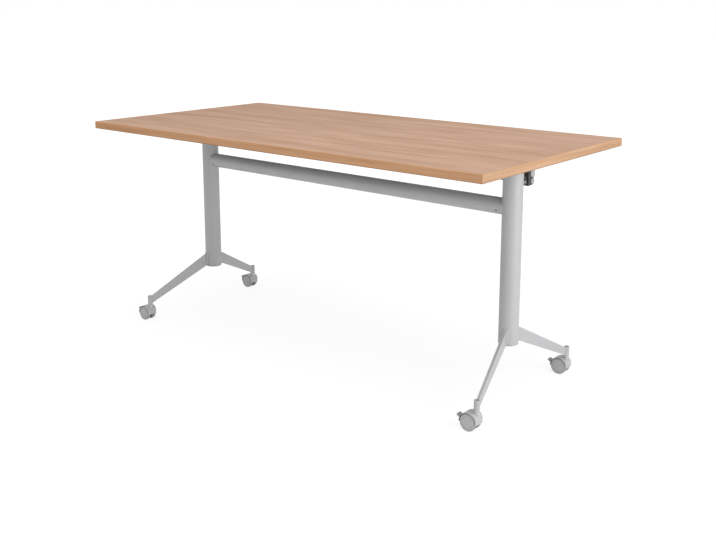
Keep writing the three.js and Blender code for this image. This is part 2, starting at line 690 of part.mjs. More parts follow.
class SpringLine extends THREE.Curve {
  getPoint(t) {
    const angle = 2 * Math.PI * SPRING_TURNS * t;
    const radius = (ROD_RADIUS + RUN_GAP + SPRING_WIRE / 2) / Math.cos(Math.PI / SPRING_STEPS);
    return new THREE.Vector3(
      SPRING_PITCH * SPRING_TURNS * t,
      radius * Math.cos(angle),
      radius * Math.sin(angle),
    );
  }
}

// The least distance between neighbouring turns, less the wire's own thickness.
function springGap(line) {
  const points = line.getPoints(SPRING_TURNS * SPRING_STEPS);
  let least = Infinity;
  points.forEach((point, i) => {
    for (let j = i + SPRING_STEPS / 2; j < points.length; j += 1) {
      least = Math.min(least, point.distanceTo(points[j]));
    }
  });
  return least - SPRING_WIRE;
}

function returnSpring() {
  const line = new SpringLine();
  console.log(`return spring: least gap between turns ${springGap(line).toFixed(2)} mm`);
  const section = new THREE.Shape();
  for (let i = 0; i < SPRING_SIDES; i += 1) {
    const angle = 2 * Math.PI * i / SPRING_SIDES;
    const point = [SPRING_WIRE / 2 * Math.cos(angle), SPRING_WIRE / 2 * Math.sin(angle)];
    if (i === 0) {
      section.moveTo(...point);
    } else {
      section.lineTo(...point);
    }
  }
  const steps = SPRING_TURNS * SPRING_STEPS;
  const seat = COLUMN_X + CHEEK_INNER - SEAT_GAP - SPRING_WIRE / 2;
  return new THREE.ExtrudeGeometry(section, { steps, extrudePath: line })
    .translate(seat - SPRING_PITCH * SPRING_TURNS, ROD_Y, ROD_Z);
}

function addFlipGear() {
  for (const [name, side] of Object.entries(SIDES)) {
    addPiece(table, `support_arm_${name}`, supportArm(side), SILVER_PAINT);
    addPiece(table, `release_lever_${name}`, releaseLever(side), BLACK_PLASTIC);
    addPiece(table, `latch_hook_${name}`, latchHook(side), BRIGHT_STEEL);
  }
  const rodEnd = COLUMN_X + LEVER_OUTER;
  const rod = tube(ROD_RADIUS, ROD_RADIUS - ROD_WALL, -rodEnd, rodEnd, ROUND_SMALL)
    .rotateY(Math.PI / 2)
    .translate(0, ROD_Y, ROD_Z);
  addPiece(table, 'release_rod', rod, BRIGHT_STEEL);
  addPiece(table, 'return_spring', returnSpring(), BRIGHT_STEEL);
}

addTop();
for (const [name, side] of Object.entries(SIDES)) {
  addLeg(name, side);
}
addBeam();
for (const [endName, end] of Object.entries(ENDS)) {
  for (const [sideName, side] of Object.entries(SIDES)) {
    addCorner(endName, end, sideName, side);
  }
}
addFlipGear();

export default table;
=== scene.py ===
"""A flip top training table: modelled pieces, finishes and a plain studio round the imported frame.

Metres, +X along the table, -Y at the front long edge, +Z up, floor at Z = 0.
"""

import json
import math

import bmesh
import bpy
from bpy.props import FloatProperty, FloatVectorProperty, IntProperty, PointerProperty
from bpy.types import Operator, Panel, PropertyGroup
from mathutils import Matrix, Vector

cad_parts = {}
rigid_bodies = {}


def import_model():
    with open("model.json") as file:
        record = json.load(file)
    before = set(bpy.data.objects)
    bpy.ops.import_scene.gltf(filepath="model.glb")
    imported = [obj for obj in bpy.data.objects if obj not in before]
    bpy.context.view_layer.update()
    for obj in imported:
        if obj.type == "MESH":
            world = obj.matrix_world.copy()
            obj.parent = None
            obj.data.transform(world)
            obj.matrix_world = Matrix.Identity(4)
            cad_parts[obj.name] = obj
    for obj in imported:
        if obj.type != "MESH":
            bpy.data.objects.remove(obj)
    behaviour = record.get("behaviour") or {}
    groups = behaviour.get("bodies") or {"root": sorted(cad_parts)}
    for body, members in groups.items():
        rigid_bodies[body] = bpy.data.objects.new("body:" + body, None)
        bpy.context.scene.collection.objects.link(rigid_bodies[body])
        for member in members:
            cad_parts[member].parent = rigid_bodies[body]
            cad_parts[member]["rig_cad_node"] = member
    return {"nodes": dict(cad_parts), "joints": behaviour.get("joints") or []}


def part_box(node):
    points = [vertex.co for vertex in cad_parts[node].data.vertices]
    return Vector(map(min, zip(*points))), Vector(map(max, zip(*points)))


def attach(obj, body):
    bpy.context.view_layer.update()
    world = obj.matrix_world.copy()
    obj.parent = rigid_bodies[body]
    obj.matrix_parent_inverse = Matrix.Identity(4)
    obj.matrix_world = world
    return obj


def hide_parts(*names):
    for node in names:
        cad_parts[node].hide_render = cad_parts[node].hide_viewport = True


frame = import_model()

bl_info = {
    "name": "Flip top training table",
    "version": (1, 0, 0),
    "blender": (4, 5, 0),
    "location": "3D View > Sidebar > Table",
    "description": "Models the pieces, finishes and studio of a flip top training table",
    "category": "Object",
}

MM = 0.001
X = Vector((1, 0, 0))
Y = Vector((0, 1, 0))
Z = Vector((0, 0, 1))
FULL_TURN = 2 * math.pi
MERGE_DISTANCE = 0.001 * MM
SMOOTH_ANGLE = math.radians(32)
ARRIS_ANGLE = math.radians(40)
PHOTO_WIDTH = 716

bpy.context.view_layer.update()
JOINTS = {joint["name"]: joint for joint in frame["joints"]}
SIDES = {"right": 1, "left": -1}
ENDS = {"front": -1, "rear": 1}
CORNERS = [(f"{end}_{side}", side) for end in ENDS for side in SIDES]


# Places taken from the frame

def joint_place(name):
    return Vector(JOINTS[name]["pos_m"])


def node_centre(node):
    low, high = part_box(node)
    return (low + high) / 2


HINGE = joint_place("top_flip")
ROD_AXIS = joint_place("release_pull")
COLUMN_LOW, COLUMN_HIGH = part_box("column_right")
COLUMN_X = node_centre("column_right").x
COLUMN_RADIUS = (COLUMN_HIGH.x - COLUMN_LOW.x) / 2
BEAM_LOW, BEAM_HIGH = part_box("cross_beam")
BEAM_Z = node_centre("cross_beam").z
BEAM_RADIUS = (BEAM_HIGH.z - BEAM_LOW.z) / 2
SOCKET_LOW, SOCKET_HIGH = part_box("castor_socket_front_right")
SOCKET_RADIUS = (SOCKET_HIGH.x - SOCKET_LOW.x) / 2
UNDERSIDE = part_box("top_board")[0].z

# Fits and bores that more than one piece shares
SEAT_GAP = 0.3 * MM
WELD_GAP = 0.1 * MM
WELD_SINK = 0.2 * MM
PIN_BORE = 6.3 * MM
AXLE_BORE = 3.3 * MM
SWIVEL_DEPTH = 17 * MM


class TableSizes(PropertyGroup):
    """Sizes of the modelled pieces that the frame doesn't give."""

    tube_facets: IntProperty(name="Tube facets", description="Facets round columns and beam", default=96)
    part_facets: IntProperty(name="Part facets", description="Facets round small turned parts", default=64)
    edge_round: FloatProperty(
        name="Edge round", description="Rounding of the edge strips' long arrises",
        default=1.5 * MM, unit="LENGTH")
    plate_round: FloatProperty(
        name="Plate round", description="Rounding of painted plate edges", default=0.9 * MM, unit="LENGTH")
    tube_wall: FloatProperty(
        name="Tube wall", description="Wall of the columns and the beam", default=2 * MM, unit="LENGTH")
    collar_width: FloatProperty(
        name="Collar width", description="Width of the ring at each end of the beam",
        default=7.5 * MM, unit="LENGTH")
    foot_thickness: FloatProperty(
        name="Foot thickness", description="Plate of the blade feet", default=8 * MM, unit="LENGTH")
    foot_root: FloatProperty(
        name="Foot root", description="Height of a foot at the column", default=45 * MM, unit="LENGTH")
    foot_tip: FloatProperty(
        name="Foot tip", description="Height of a foot at the socket", default=26 * MM, unit="LENGTH")
    root_weld: FloatProperty(
        name="Root weld", description="Weld bead at the column", default=5 * MM, unit="LENGTH")
    hood_wall: FloatProperty(
        name="Hood wall", description="Wall of the castor hoods", default=0.9 * MM, unit="LENGTH")
    hood_gap: FloatProperty(
        name="Hood gap", description="Gap between a wheel's tread and its hood",
        default=2.1 * MM, unit="LENGTH")
    hood_lip: FloatProperty(
        name="Hood lip", description="Lower edge of a hood below the axle", default=2.5 * MM, unit="LENGTH")
    hood_corner: FloatProperty(
        name="Hood corner", description="Upper leading corner of a hood", default=17 * MM, unit="LENGTH")
    web_width: FloatProperty(
        name="Web width", description="Web between a castor's two wheels", default=12 * MM, unit="LENGTH")
    tyre: FloatProperty(
        name="Tyre", description="Depth of the tyre on a castor wheel", default=2.4 * MM, unit="LENGTH")
    tab_tilt: FloatProperty(
        name="Tab tilt", description="Rise of a brake tab", default=math.radians(30), subtype="ANGLE")
    tab_length: FloatProperty(
        name="Tab length", description="Length of a brake tab", default=12 * MM, unit="LENGTH")


class TableColours(PropertyGroup):
    """Colours of the finishes."""

    board: FloatVectorProperty(
        name="Board", description="Middle tone of the wood effect", subtype="COLOR",
        default=(0.484, 0.322, 0.235))
    backing: FloatVectorProperty(
        name="Backing", description="Grey backing under the board", subtype="COLOR",
        default=(0.345, 0.34, 0.335))
    edging: FloatVectorProperty(
        name="Edging", description="Middle tone of the edge strips", subtype="COLOR",
        default=(0.632, 0.357, 0.202))
    paint: FloatVectorProperty(
        name="Paint", description="Silver grey of the frame", subtype="COLOR", default=(0.47, 0.472, 0.48))
    castor: FloatVectorProperty(
        name="Castor", description="Grey of hoods and wheels", subtype="COLOR", default=(0.48, 0.482, 0.486))
    tyre: FloatVectorProperty(
        name="Tyre", description="Grey of the tyres and the rod's end caps", subtype="COLOR",
        default=(0.36, 0.361, 0.365))
    # Painted shade: near black on the lower web stands for the shade in the gap between a castor's wheels.
    web_shade: FloatVectorProperty(
        name="Web", description="Dark grey between the wheels", subtype="COLOR", default=(0.07, 0.07, 0.072))
    brake: FloatVectorProperty(
        name="Brake", description="Grey of the brake tabs", subtype="COLOR", default=(0.4, 0.4, 0.405))
    lever: FloatVectorProperty(
        name="Lever", description="Black of the release levers", subtype="COLOR",
        default=(0.028, 0.028, 0.032))
    rubber: FloatVectorProperty(
        name="Rubber", description="Black of the stop buffers", subtype="COLOR", default=(0.03, 0.03, 0.03))
    steel: FloatVectorProperty(
        name="Steel", description="Plated steel", subtype="COLOR", default=(0.58, 0.585, 0.6))
    alloy: FloatVectorProperty(
        name="Alloy", description="Cast alloy", subtype="COLOR", default=(0.5, 0.505, 0.515))


class StageSettings(PropertyGroup):
    """Camera, lamps and floor."""

    camera_place: FloatVectorProperty(
        name="Camera place", description="Where the camera stands", subtype="XYZ",
        default=(1.9838, -2.2955, 1.163))
    camera_yaw: FloatProperty(
        name="Camera yaw", description="Heading of the view, from +X towards +Y",
        default=math.radians(129.792), subtype="ANGLE")
    camera_pitch: FloatProperty(
        name="Camera pitch", description="Tilt of the view", default=math.radians(-10.716), subtype="ANGLE")
    focal_pixels: FloatProperty(
        name="Focal length", description="Focal length in pixels of the picture", default=925.2)
    lens_shift: FloatProperty(name="Lens shift", description="Vertical shift of the lens", default=-0.13)
    key_power: FloatProperty(name="Key", description="Power of the side lamp", default=35, unit="POWER")
    top_power: FloatProperty(
        name="Overhead", description="Power of the overhead lamp", default=56, unit="POWER")
    fill_level: FloatProperty(name="Fill", description="Level of the even light all round", default=0.6)


def sizes():
    return bpy.context.scene.table_sizes


def colours():
    return bpy.context.scene.table_colours


# Working with operators

def fresh_start():
    """Leaves edit mode and deselects everything, so that the next operator acts on its own piece."""
    if bpy.context.mode != "OBJECT":
        bpy.ops.object.mode_set(mode="OBJECT")
    bpy.ops.object.select_all(action="DESELECT")


def make_active(piece):
    fresh_start()
    piece.select_set(True)
    bpy.context.view_layer.objects.active = piece


def settle(piece):
    """Puts a piece's place, turn and scale into its mesh."""
    make_active(piece)
    bpy.ops.object.transform_apply(location=True, rotation=True, scale=True)
    return piece


def start_edit(piece, mode="VERT"):
    make_active(piece)
    bpy.ops.object.mode_set(mode="EDIT")
    bpy.ops.mesh.select_mode(type=mode)


def end_edit():
    bpy.ops.object.mode_set(mode="OBJECT")


def pick_edges(piece, wanted):
    """Selects the edges that pass a test on their middle and direction."""
    bpy.ops.mesh.select_all(action="DESELECT")
    mesh = bmesh.from_edit_mesh(piece.data)
    for edge in mesh.edges:
        start, end = (vertex.co for vertex in edge.verts)
        if wanted((start + end) / 2, (end - start).normalized()):
            edge.select_set(True)
    bmesh.update_edit_mesh(piece.data)


def pick_faces(piece, wanted):
    """Selects the faces that pass a test on their middle and normal."""
    bpy.ops.mesh.select_all(action="DESELECT")
    mesh = bmesh.from_edit_mesh(piece.data)
    for face in mesh.faces:
        if wanted(face.calc_center_median(), face.normal):
            face.select_set(True)
    bmesh.update_edit_mesh(piece.data)


def apply_modifier(piece, kind, **settings):
    make_active(piece)
    modifier = piece.modifiers.new(kind, kind)
    for name, value in settings.items():
        setattr(modifier, name, value)
    bpy.ops.object.modifier_apply(modifier=modifier.name)


def soften(piece, radius, segments=2):
    """Rounds every sharp edge."""
    apply_modifier(piece, "BEVEL", width=radius, segments=segments, limit_method="ANGLE",
                   angle_limit=ARRIS_ANGLE, use_clamp_overlap=True)


def combine(piece, tool, operation):
    apply_modifier(piece, "BOOLEAN", object=tool, operation=operation, solver="EXACT")
    bpy.data.objects.remove(tool)


def cut_away(piece, tool):
    combine(piece, tool, "DIFFERENCE")


def weld_on(piece, tool):
    combine(piece, tool, "UNION")


def keep_inside(piece, tool):
    combine(piece, tool, "INTERSECT")


# Forms that the pieces start from

def add_block(low, high):
    low, high = Vector(low), Vector(high)
    fresh_start()
    bpy.ops.mesh.primitive_cube_add(size=1, location=(low + high) / 2, scale=high - low)
    return settle(bpy.context.object)


def add_rod(radius, start, end, facets, ends="NGON"):
    start, end = Vector(start), Vector(end)
    axis = end - start
    fresh_start()
    bpy.ops.mesh.primitive_cylinder_add(
        vertices=facets, radius=radius, depth=axis.length, end_fill_type=ends,
        location=(start + end) / 2, rotation=axis.to_track_quat("Z", "Y").to_euler())
    return settle(bpy.context.object)


def add_tube(radius, wall, start, end, facets):
    piece = add_rod(radius, start, end, facets, ends="NOTHING")
    apply_modifier(piece, "SOLIDIFY", thickness=wall, offset=-1)
    return piece


def draw_line(points):
    """Draws a chain of edges by extruding one vertex from point to point, and stays in edit mode."""
    points = [Vector(point) for point in points]
    fresh_start()
    bpy.ops.mesh.primitive_plane_add(size=MM, location=points[0])
    piece = bpy.context.object
    start_edit(piece)
    bpy.ops.mesh.select_all(action="SELECT")
    bpy.ops.mesh.merge(type="CENTER")
    for here, there in zip(points, points[1:]):
        bpy.ops.mesh.extrude_region_move(TRANSFORM_OT_translate={"value": there - here})
    bpy.ops.mesh.select_all(action="SELECT")
    return piece


def close_up():
    """Merges doubles and turns all faces outwards, in edit mode."""
    bpy.ops.mesh.select_all(action="SELECT")
    bpy.ops.mesh.remove_doubles(threshold=MERGE_DISTANCE)
    bpy.ops.mesh.normals_make_consistent(inside=False)
    end_edit()


def turn(profile, origin, axis, facets):
    """Spins a profile of (radius, height) pairs about an axis through origin."""
    origin, axis = Vector(origin), Vector(axis)
    out = axis.orthogonal().normalized()
    piece = draw_line([origin + out * radius + axis * height for radius, height in profile])
    bpy.ops.mesh.spin(steps=facets, angle=FULL_TURN, center=origin, axis=axis)
    close_up()
    return settle(piece)


def draw_plate(points, depth):
    """A plate from its corner points, all in one plane, and the way and distance it is thick."""
    piece = draw_line([*points, points[0]])
    bpy.ops.mesh.remove_doubles(threshold=MERGE_DISTANCE)
    bpy.ops.mesh.edge_face_add()
    bpy.ops.mesh.extrude_region_move(TRANSFORM_OT_translate={"value": Vector(depth)})
    close_up()
    return settle(piece)


def arc(centre, radius, start, end, steps):
    """Points of an arc in a flat drawing, angles in degrees."""
    angles = [math.radians(start + (end - start) * i / steps) for i in range(steps + 1)]
    return [(centre[0] + radius * math.cos(a), centre[1] + radius * math.sin(a)) for a in angles]


def copy_node(node):
    """A merged copy of a CAD solid with its flat faces made whole."""
    source = frame["nodes"][node]
    piece = source.copy()
    piece.data = source.data.copy()
    piece.parent = None
    del piece["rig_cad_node"]
    bpy.context.scene.collection.objects.link(piece)
    start_edit(piece)
    bpy.ops.mesh.select_all(action="SELECT")
    bpy.ops.mesh.remove_doubles(threshold=MERGE_DISTANCE)
    bpy.ops.mesh.dissolve_limited(angle_limit=math.radians(1))
    end_edit()
    return piece


def copy_piece(piece, offset):
    """A copy with its own mesh, moved by an offset."""
    twin = piece.copy()
    twin.data = piece.data.copy()
    bpy.context.scene.collection.objects.link(twin)
    twin.location = offset
    return settle(twin)


def join_pieces(pieces):
    make_active(pieces[0])
    for piece in pieces:
        piece.select_set(True)
    bpy.ops.object.join()
    return pieces[0]


def hand_over(piece, name, body, slot, *nodes, finish=None):
    """Cleans, smooths and finishes a piece, and sets it on its body in place of its CAD nodes."""
    start_edit(piece)
    bpy.ops.mesh.select_all(action="SELECT")
    bpy.ops.mesh.remove_doubles(threshold=MERGE_DISTANCE)
    bpy.ops.mesh.dissolve_degenerate(threshold=MERGE_DISTANCE)
    end_edit()
    bpy.ops.object.shade_smooth_by_angle(angle=SMOOTH_ANGLE)
    apply_modifier(piece, "WEIGHTED_NORMAL", keep_sharp=True)
    piece.name = name
    piece.data.name = name
    piece.data.materials.clear()
    piece.data.materials.append(finish_named(finish or slot))
    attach(piece, body)
    if nodes:
        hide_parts(*nodes)
    return piece


# Finishes

def new_finish(name, roughness, metallic=0.0):
    material = bpy.data.materials.new(name)
    material.use_nodes = True
    shader = material.node_tree.nodes["Principled BSDF"]
    shader.inputs["Roughness"].default_value = roughness
    shader.inputs["Metallic"].default_value = metallic
    return material, material.node_tree, shader


def object_space(tree, scale):
    """Object coordinates, stretched."""
    place = tree.nodes.new("ShaderNodeTexCoord")
    mapping = tree.nodes.new("ShaderNodeMapping")
    mapping.inputs["Scale"].default_value = scale
    tree.links.new(place.outputs["Object"], mapping.inputs["Vector"])
    return mapping.outputs["Vector"]


def noise(tree, vector, scale, detail=3.0, roughness=0.5, distortion=0.0):
    node = tree.nodes.new("ShaderNodeTexNoise")
    node.inputs["Scale"].default_value = scale
    node.inputs["Detail"].default_value = detail
    node.inputs["Roughness"].default_value = roughness
    node.inputs["Distortion"].default_value = distortion
    tree.links.new(vector, node.inputs["Vector"])
    return node.outputs["Fac"]


def spread(tree, value, low, high, to_low, to_high):
    node = tree.nodes.new("ShaderNodeMapRange")
    for name, number in (("From Min", low), ("From Max", high), ("To Min", to_low), ("To Max", to_high)):
        node.inputs[name].default_value = number
    tree.links.new(value, node.inputs["Value"])
    return node.outputs["Result"]


def shade(tree, colour, share, tone):
    """Mixes a colour, or a colour output, towards a tone by a share output."""
    node = tree.nodes.new("ShaderNodeMix")
    node.data_type = "RGBA"
    factor, first, second = node.inputs["Factor"], node.inputs[6], node.inputs[7]
    tree.links.new(share, factor)
    if isinstance(colour, bpy.types.NodeSocket):
        tree.links.new(colour, first)
    else:
        first.default_value = (*colour, 1)
    second.default_value = (*tone, 1)
    return node.outputs[2]


def raise_surface(tree, shader, height, distance, strength):
    node = tree.nodes.new("ShaderNodeBump")
    node.inputs["Strength"].default_value = strength
    node.inputs["Distance"].default_value = distance
    tree.links.new(height, node.inputs["Height"])
    tree.links.new(node.outputs["Normal"], shader.inputs["Normal"])


def scaled(colour, factor):
    return tuple(min(1.0, channel * factor) for channel in colour)


def tinted(colour, red, green, blue):
    return (colour[0] * red, colour[1] * green, colour[2] * blue)


def grain_space(tree, along, slow, fast):
    """Object coordinates drawn out along X or Y."""
    return object_space(tree, (slow, fast, fast) if along is X else (fast, slow, fast))


def near_underside(tree, reach):
    """One at the board's underside, nought from a reach above it."""
    parts = tree.nodes.new("ShaderNodeSeparateXYZ")
    tree.links.new(object_space(tree, (1, 1, 1)), parts.inputs["Vector"])
    return spread(tree, parts.outputs["Z"], UNDERSIDE + reach / 2, UNDERSIDE + reach, 1, 0)


def wood_effect(name, colour, along, band, streak, figure, backing_and_shade_tone, backing_and_shade_reach):
    """A printed beech grain along X or Y, with another tone at the underside: the board's grey backing, and
    painted shade on the edge strips' lower arris.

    Band is how many bands there are to the metre, streak and figure how strong bands and fine grain are.
    """
    roughness = 0.42
    material, tree, shader = new_finish(name, roughness)
    shader.inputs["Specular IOR Level"].default_value = 0
    broad = noise(tree, grain_space(tree, along, 0.45, 7.5), 1.0, 2.0, 0.55, 0.3)
    bands = noise(tree, grain_space(tree, along, 2.6, band), 1.0, 3.0, 0.6, 0.5)
    grain = noise(tree, grain_space(tree, along, 5, 260), 1.0, 4.0, 0.65, 0.2)
    flecks = noise(tree, grain_space(tree, along, 90, 900), 1.0, 1.0, 0.5)
    tone = shade(tree, colour, spread(tree, broad, 0.35, 0.65, 0, 0.9), tinted(colour, 0.93, 0.93, 0.93))
    tone = shade(tree, tone, spread(tree, bands, 0.48, 0.7, 0, streak), tinted(colour, 0.82, 0.77, 0.71))
    tone = shade(tree, tone, spread(tree, bands, 0.3, 0.46, streak, 0), tinted(colour, 1.08, 1.08, 1.07))
    tone = shade(tree, tone, spread(tree, grain, 0.5, 0.72, 0, figure), tinted(colour, 0.8, 0.75, 0.68))
    tone = shade(tree, tone, spread(tree, flecks, 0.68, 0.74, 0, 0.45), tinted(colour, 0.62, 0.52, 0.44))
    # Painted shade on the edge strips: a band along the underside takes the backing tone on the board and a
    # darker tone on the strips.
    tone = shade(tree, tone, near_underside(tree, backing_and_shade_reach), backing_and_shade_tone)
    tree.links.new(tone, shader.inputs["Base Color"])
    gloss = spread(tree, grain, 0.3, 0.7, roughness - 0.06, roughness + 0.08)
    tree.links.new(gloss, shader.inputs["Roughness"])
    raise_surface(tree, shader, grain, 0.05 * MM, 0.25)
    return material


def board_finish():
    return wood_effect(
        "beech_face", colours().board, X, band=22, streak=0.95, figure=0.55,
        backing_and_shade_tone=colours().backing, backing_and_shade_reach=1 * MM)


def edging_effect(name, colour, along):
    # Painted shade: the lowest 3.4 mm of each edge strip is darkened to stand for shade on its lower arris.
    return wood_effect(
        name, colour, along, band=110, streak=1.0, figure=0.8,
        backing_and_shade_tone=tinted(colour, 0.62, 0.64, 0.7), backing_and_shade_reach=3.4 * MM)


def edging_finish():
    return edging_effect("beech_edge_long", colours().edging, X)


# Painted light: the end strips take a copy of the edging colour tinted less red and a touch bluer, for how
# the side lamp falls on the table's ends. Their grain runs along Y.
def end_edging_painted_light_finish():
    return edging_effect("beech_edge_end_painted_light", tinted(colours().edging, 0.84, 0.93, 1.04), Y)


def coated_finish(name, colour, roughness, grain, depth, strength, metallic=0.0):
    """A painted or moulded surface with a fine skin and slightly uneven tone."""
    material, tree, shader = new_finish(name, roughness, metallic)
    space = object_space(tree, (1, 1, 1))
    clouds = noise(tree, space, 9.0, 3.0)
    skin = noise(tree, space, grain, 2.0, 0.6)
    tone = shade(tree, colour, spread(tree, clouds, 0.3, 0.7, 0, 1), scaled(colour, 0.95))
    tone = shade(tree, tone, spread(tree, skin, 0.52, 0.72, 0, 0.5), scaled(colour, 0.9))
    tree.links.new(tone, shader.inputs["Base Color"])
    gloss = spread(tree, clouds, 0.3, 0.7, roughness - 0.04, roughness + 0.05)
    tree.links.new(gloss, shader.inputs["Roughness"])
    raise_surface(tree, shader, skin, depth, strength)
    return material


def paint_finish():
    return coated_finish(
        "silver_powder_coat", colours().paint, roughness=0.48, metallic=0.12, grain=1400.0,
        depth=0.03 * MM, strength=0.35)


def castor_finish():
    return coated_finish(
        "moulded_grey", colours().castor, roughness=0.5, grain=900.0,
        depth=0.04 * MM, strength=0.3)


def tyre_finish():
    return coated_finish(
        "tyre_grey", colours().tyre, roughness=0.6, grain=800.0,
        depth=0.05 * MM, strength=0.35)


# Painted shade: a near-black moulded finish for the web piece in the gap between a castor's wheels.
def web_shade_finish():
    return coated_finish(
        "web_painted_shade", colours().web_shade, roughness=0.6, grain=900.0,
        depth=0.05 * MM, strength=0.35)


def brake_finish():
    return coated_finish(
        "moulded_dark_grey", colours().brake, roughness=0.55, grain=900.0,
        depth=0.05 * MM, strength=0.35)


def lever_finish():
    return coated_finish(
        "moulded_black", colours().lever, roughness=0.45, grain=1100.0,
        depth=0.05 * MM, strength=0.4)


def rubber_finish():
    return coated_finish(
        "black_rubber", colours().rubber, roughness=0.85, grain=700.0,
        depth=0.08 * MM, strength=0.5)


def alloy_finish():
    return coated_finish(
        "cast_alloy", colours().alloy, roughness=0.5, metallic=0.8, grain=600.0,
        depth=0.08 * MM, strength=0.5)


# Painted shade: a copy of the plated steel darkened to a third, for the beam screws and for the latch hooks
# and keepers under the board.
def shaded_steel_finish():
    return coated_finish(
        "shaded_steel", scaled(colours().steel, 0.35), roughness=0.55, metallic=0.2, grain=900.0,
        depth=0.03 * MM, strength=0.3)


def plated_finish(name, colour, smooth, rough):
    """Plated steel with faint drawing marks."""
    material, tree, shader = new_finish(name, smooth, 1.0)
    marks = noise(tree, object_space(tree, (120, 900, 900)), 1.0, 3.0, 0.6)
    clouds = noise(tree, object_space(tree, (60, 60, 60)), 1.0, 3.0, 0.5)
    tone = shade(tree, colour, spread(tree, clouds, 0.35, 0.7, 0, 1), tinted(colour, 0.86, 0.87, 0.9))
    tree.links.new(tone, shader.inputs["Base Color"])
    tree.links.new(spread(tree, marks, 0.3, 0.7, smooth, rough), shader.inputs["Roughness"])
    raise_surface(tree, shader, marks, 0.02 * MM, 0.2)
    return material


def steel_finish():
    return plated_finish("plated_steel", colours().steel, 0.24, 0.42)


# Painted highlight: a copy of the plated steel half again as bright, and smoother, for the castor stems.
def highlight_steel_finish():
    return plated_finish("highlight_steel", scaled(colours().steel, 1.5), 0.12, 0.25)


FINISH_MAKERS = {
    "board": board_finish,
    "edging": edging_finish,
    "end_edging_painted_light": end_edging_painted_light_finish,
    "silver_paint": paint_finish,
    "grey_plastic": castor_finish,
    "dark_plastic": brake_finish,
    "tyre": tyre_finish,
    "web_shade": web_shade_finish,
    "black_plastic": lever_finish,
    "rubber": rubber_finish,
    "steel": steel_finish,
    "highlight_steel": highlight_steel_finish,
    "shaded_steel": shaded_steel_finish,
    "alloy": alloy_finish,
}
finishes = {}


def finish_named(name):
    if name not in finishes:
        finishes[name] = FINISH_MAKERS[name]()
    return finishes[name]


# Board and edging

def make_board():
    piece = add_block(*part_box("top_board"))
    soften(piece, 0.2 * MM, 1)
    hand_over(piece, "board_core", "top", "board", "top_board")


def make_edge_strip(side, outward, along):
    node = f"edge_strip_{side}"
    piece = add_block(*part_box(node))
    middle = node_centre(node).dot(outward)
    start_edit(piece, "EDGE")
    pick_edges(piece, lambda at, way: at.dot(outward) > middle and abs(way.dot(along)) > 0.5)
    bpy.ops.mesh.bevel(offset=sizes().edge_round, segments=4, affect="EDGES")
    end_edit()
    soften(piece, 0.25 * MM, 1)
    # The end strips take the edging colour retinted as painted light.
    finish = "edging" if along is X else "end_edging_painted_light"
    hand_over(piece, f"edging_{side}", "top", "edging", node, finish=finish)


# Columns

def make_column(side):
    node = f"column_{side}"
    low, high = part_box(node)
    axis = Vector((node_centre(node).x, 0, 0))
    foot, head = axis + Z * low.z, axis + Z * high.z
    piece = add_tube(COLUMN_RADIUS, sizes().tube_wall, foot, head, sizes().tube_facets)
    hinge = axis + Z * HINGE.z
    inward = hinge - X * SIDES[side] * 2 * COLUMN_RADIUS
    cut_away(piece, add_rod(PIN_BORE, hinge, inward, sizes().part_facets))
    soften(piece, 0.3 * MM)
    hand_over(piece, f"round_column_{side}", "frame", "silver_paint", node)


def make_column_cap(side):
    node = f"column_cap_{side}"
    low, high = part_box(node)
    seat = COLUMN_LOW.z - SEAT_GAP - low.z
    spigot = COLUMN_RADIUS - sizes().tube_wall - SEAT_GAP
    lower_round = 1.6 * MM
    profile = [
        (0, 0),
        *arc((COLUMN_RADIUS - lower_round, lower_round), lower_round, -90, 0, 6),
        (COLUMN_RADIUS, seat - 0.5 * MM),
        (COLUMN_RADIUS - 0.5 * MM, seat),
        (spigot, seat),
        (spigot, high.z - low.z),
        (0, high.z - low.z),
    ]
    piece = turn(profile, (node_centre(node).x, 0, low.z), Z, sizes().tube_facets)
    hand_over(piece, f"end_cap_{side}", "frame", "grey_plastic", node, finish="silver_paint")


def make_column_head(side):
    node = f"column_head_{side}"
    low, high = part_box(node)
    seat = COLUMN_HIGH.z + SEAT_GAP - low.z
    top = high.z - low.z
    spigot = COLUMN_RADIUS - sizes().tube_wall - SEAT_GAP
    chamfer = 1.2 * MM
    profile = [
        (0, 0),
        (spigot - chamfer, 0),
        (spigot, chamfer),
        (spigot, seat),
        (COLUMN_RADIUS, seat),
        (COLUMN_RADIUS, top - chamfer),
        (COLUMN_RADIUS - chamfer, top),
        (0, top),
    ]
    centre = Vector((node_centre(node).x, 0, low.z))
    piece = turn(profile, centre, Z, sizes().tube_facets)
    hinge = Vector((centre.x, 0, HINGE.z))
    pin_low, pin_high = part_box(f"pivot_pin_{side}")
    root = pin_high.x if side == "right" else pin_low.x
    end = Vector((root + SIDES[side] * SEAT_GAP, 0, HINGE.z))
    inward = hinge - X * SIDES[side] * 2 * COLUMN_RADIUS
    cut_away(piece, add_rod(PIN_BORE, end, inward, sizes().part_facets))
    hand_over(piece, f"head_plug_{side}", "frame", "alloy", node)


# Cross beam

def column_core(side, radius):
    """A rod round a column's axis, long enough to cut what meets the column."""
    axis = Vector((SIDES[side] * COLUMN_X, 0, 0))
    return add_rod(radius, axis, axis + Z * HINGE.z * 2, sizes().tube_facets)


def make_beam():
    ends = [Vector((way * COLUMN_X, 0, BEAM_Z)) for way in (-1, 1)]
    piece = add_tube(BEAM_RADIUS, sizes().tube_wall, *ends, sizes().tube_facets)
    for side in SIDES:
        cut_away(piece, column_core(side, COLUMN_RADIUS + sizes().collar_width))
    soften(piece, 0.35 * MM)
    hand_over(piece, "round_beam", "frame", "silver_paint", "cross_beam")


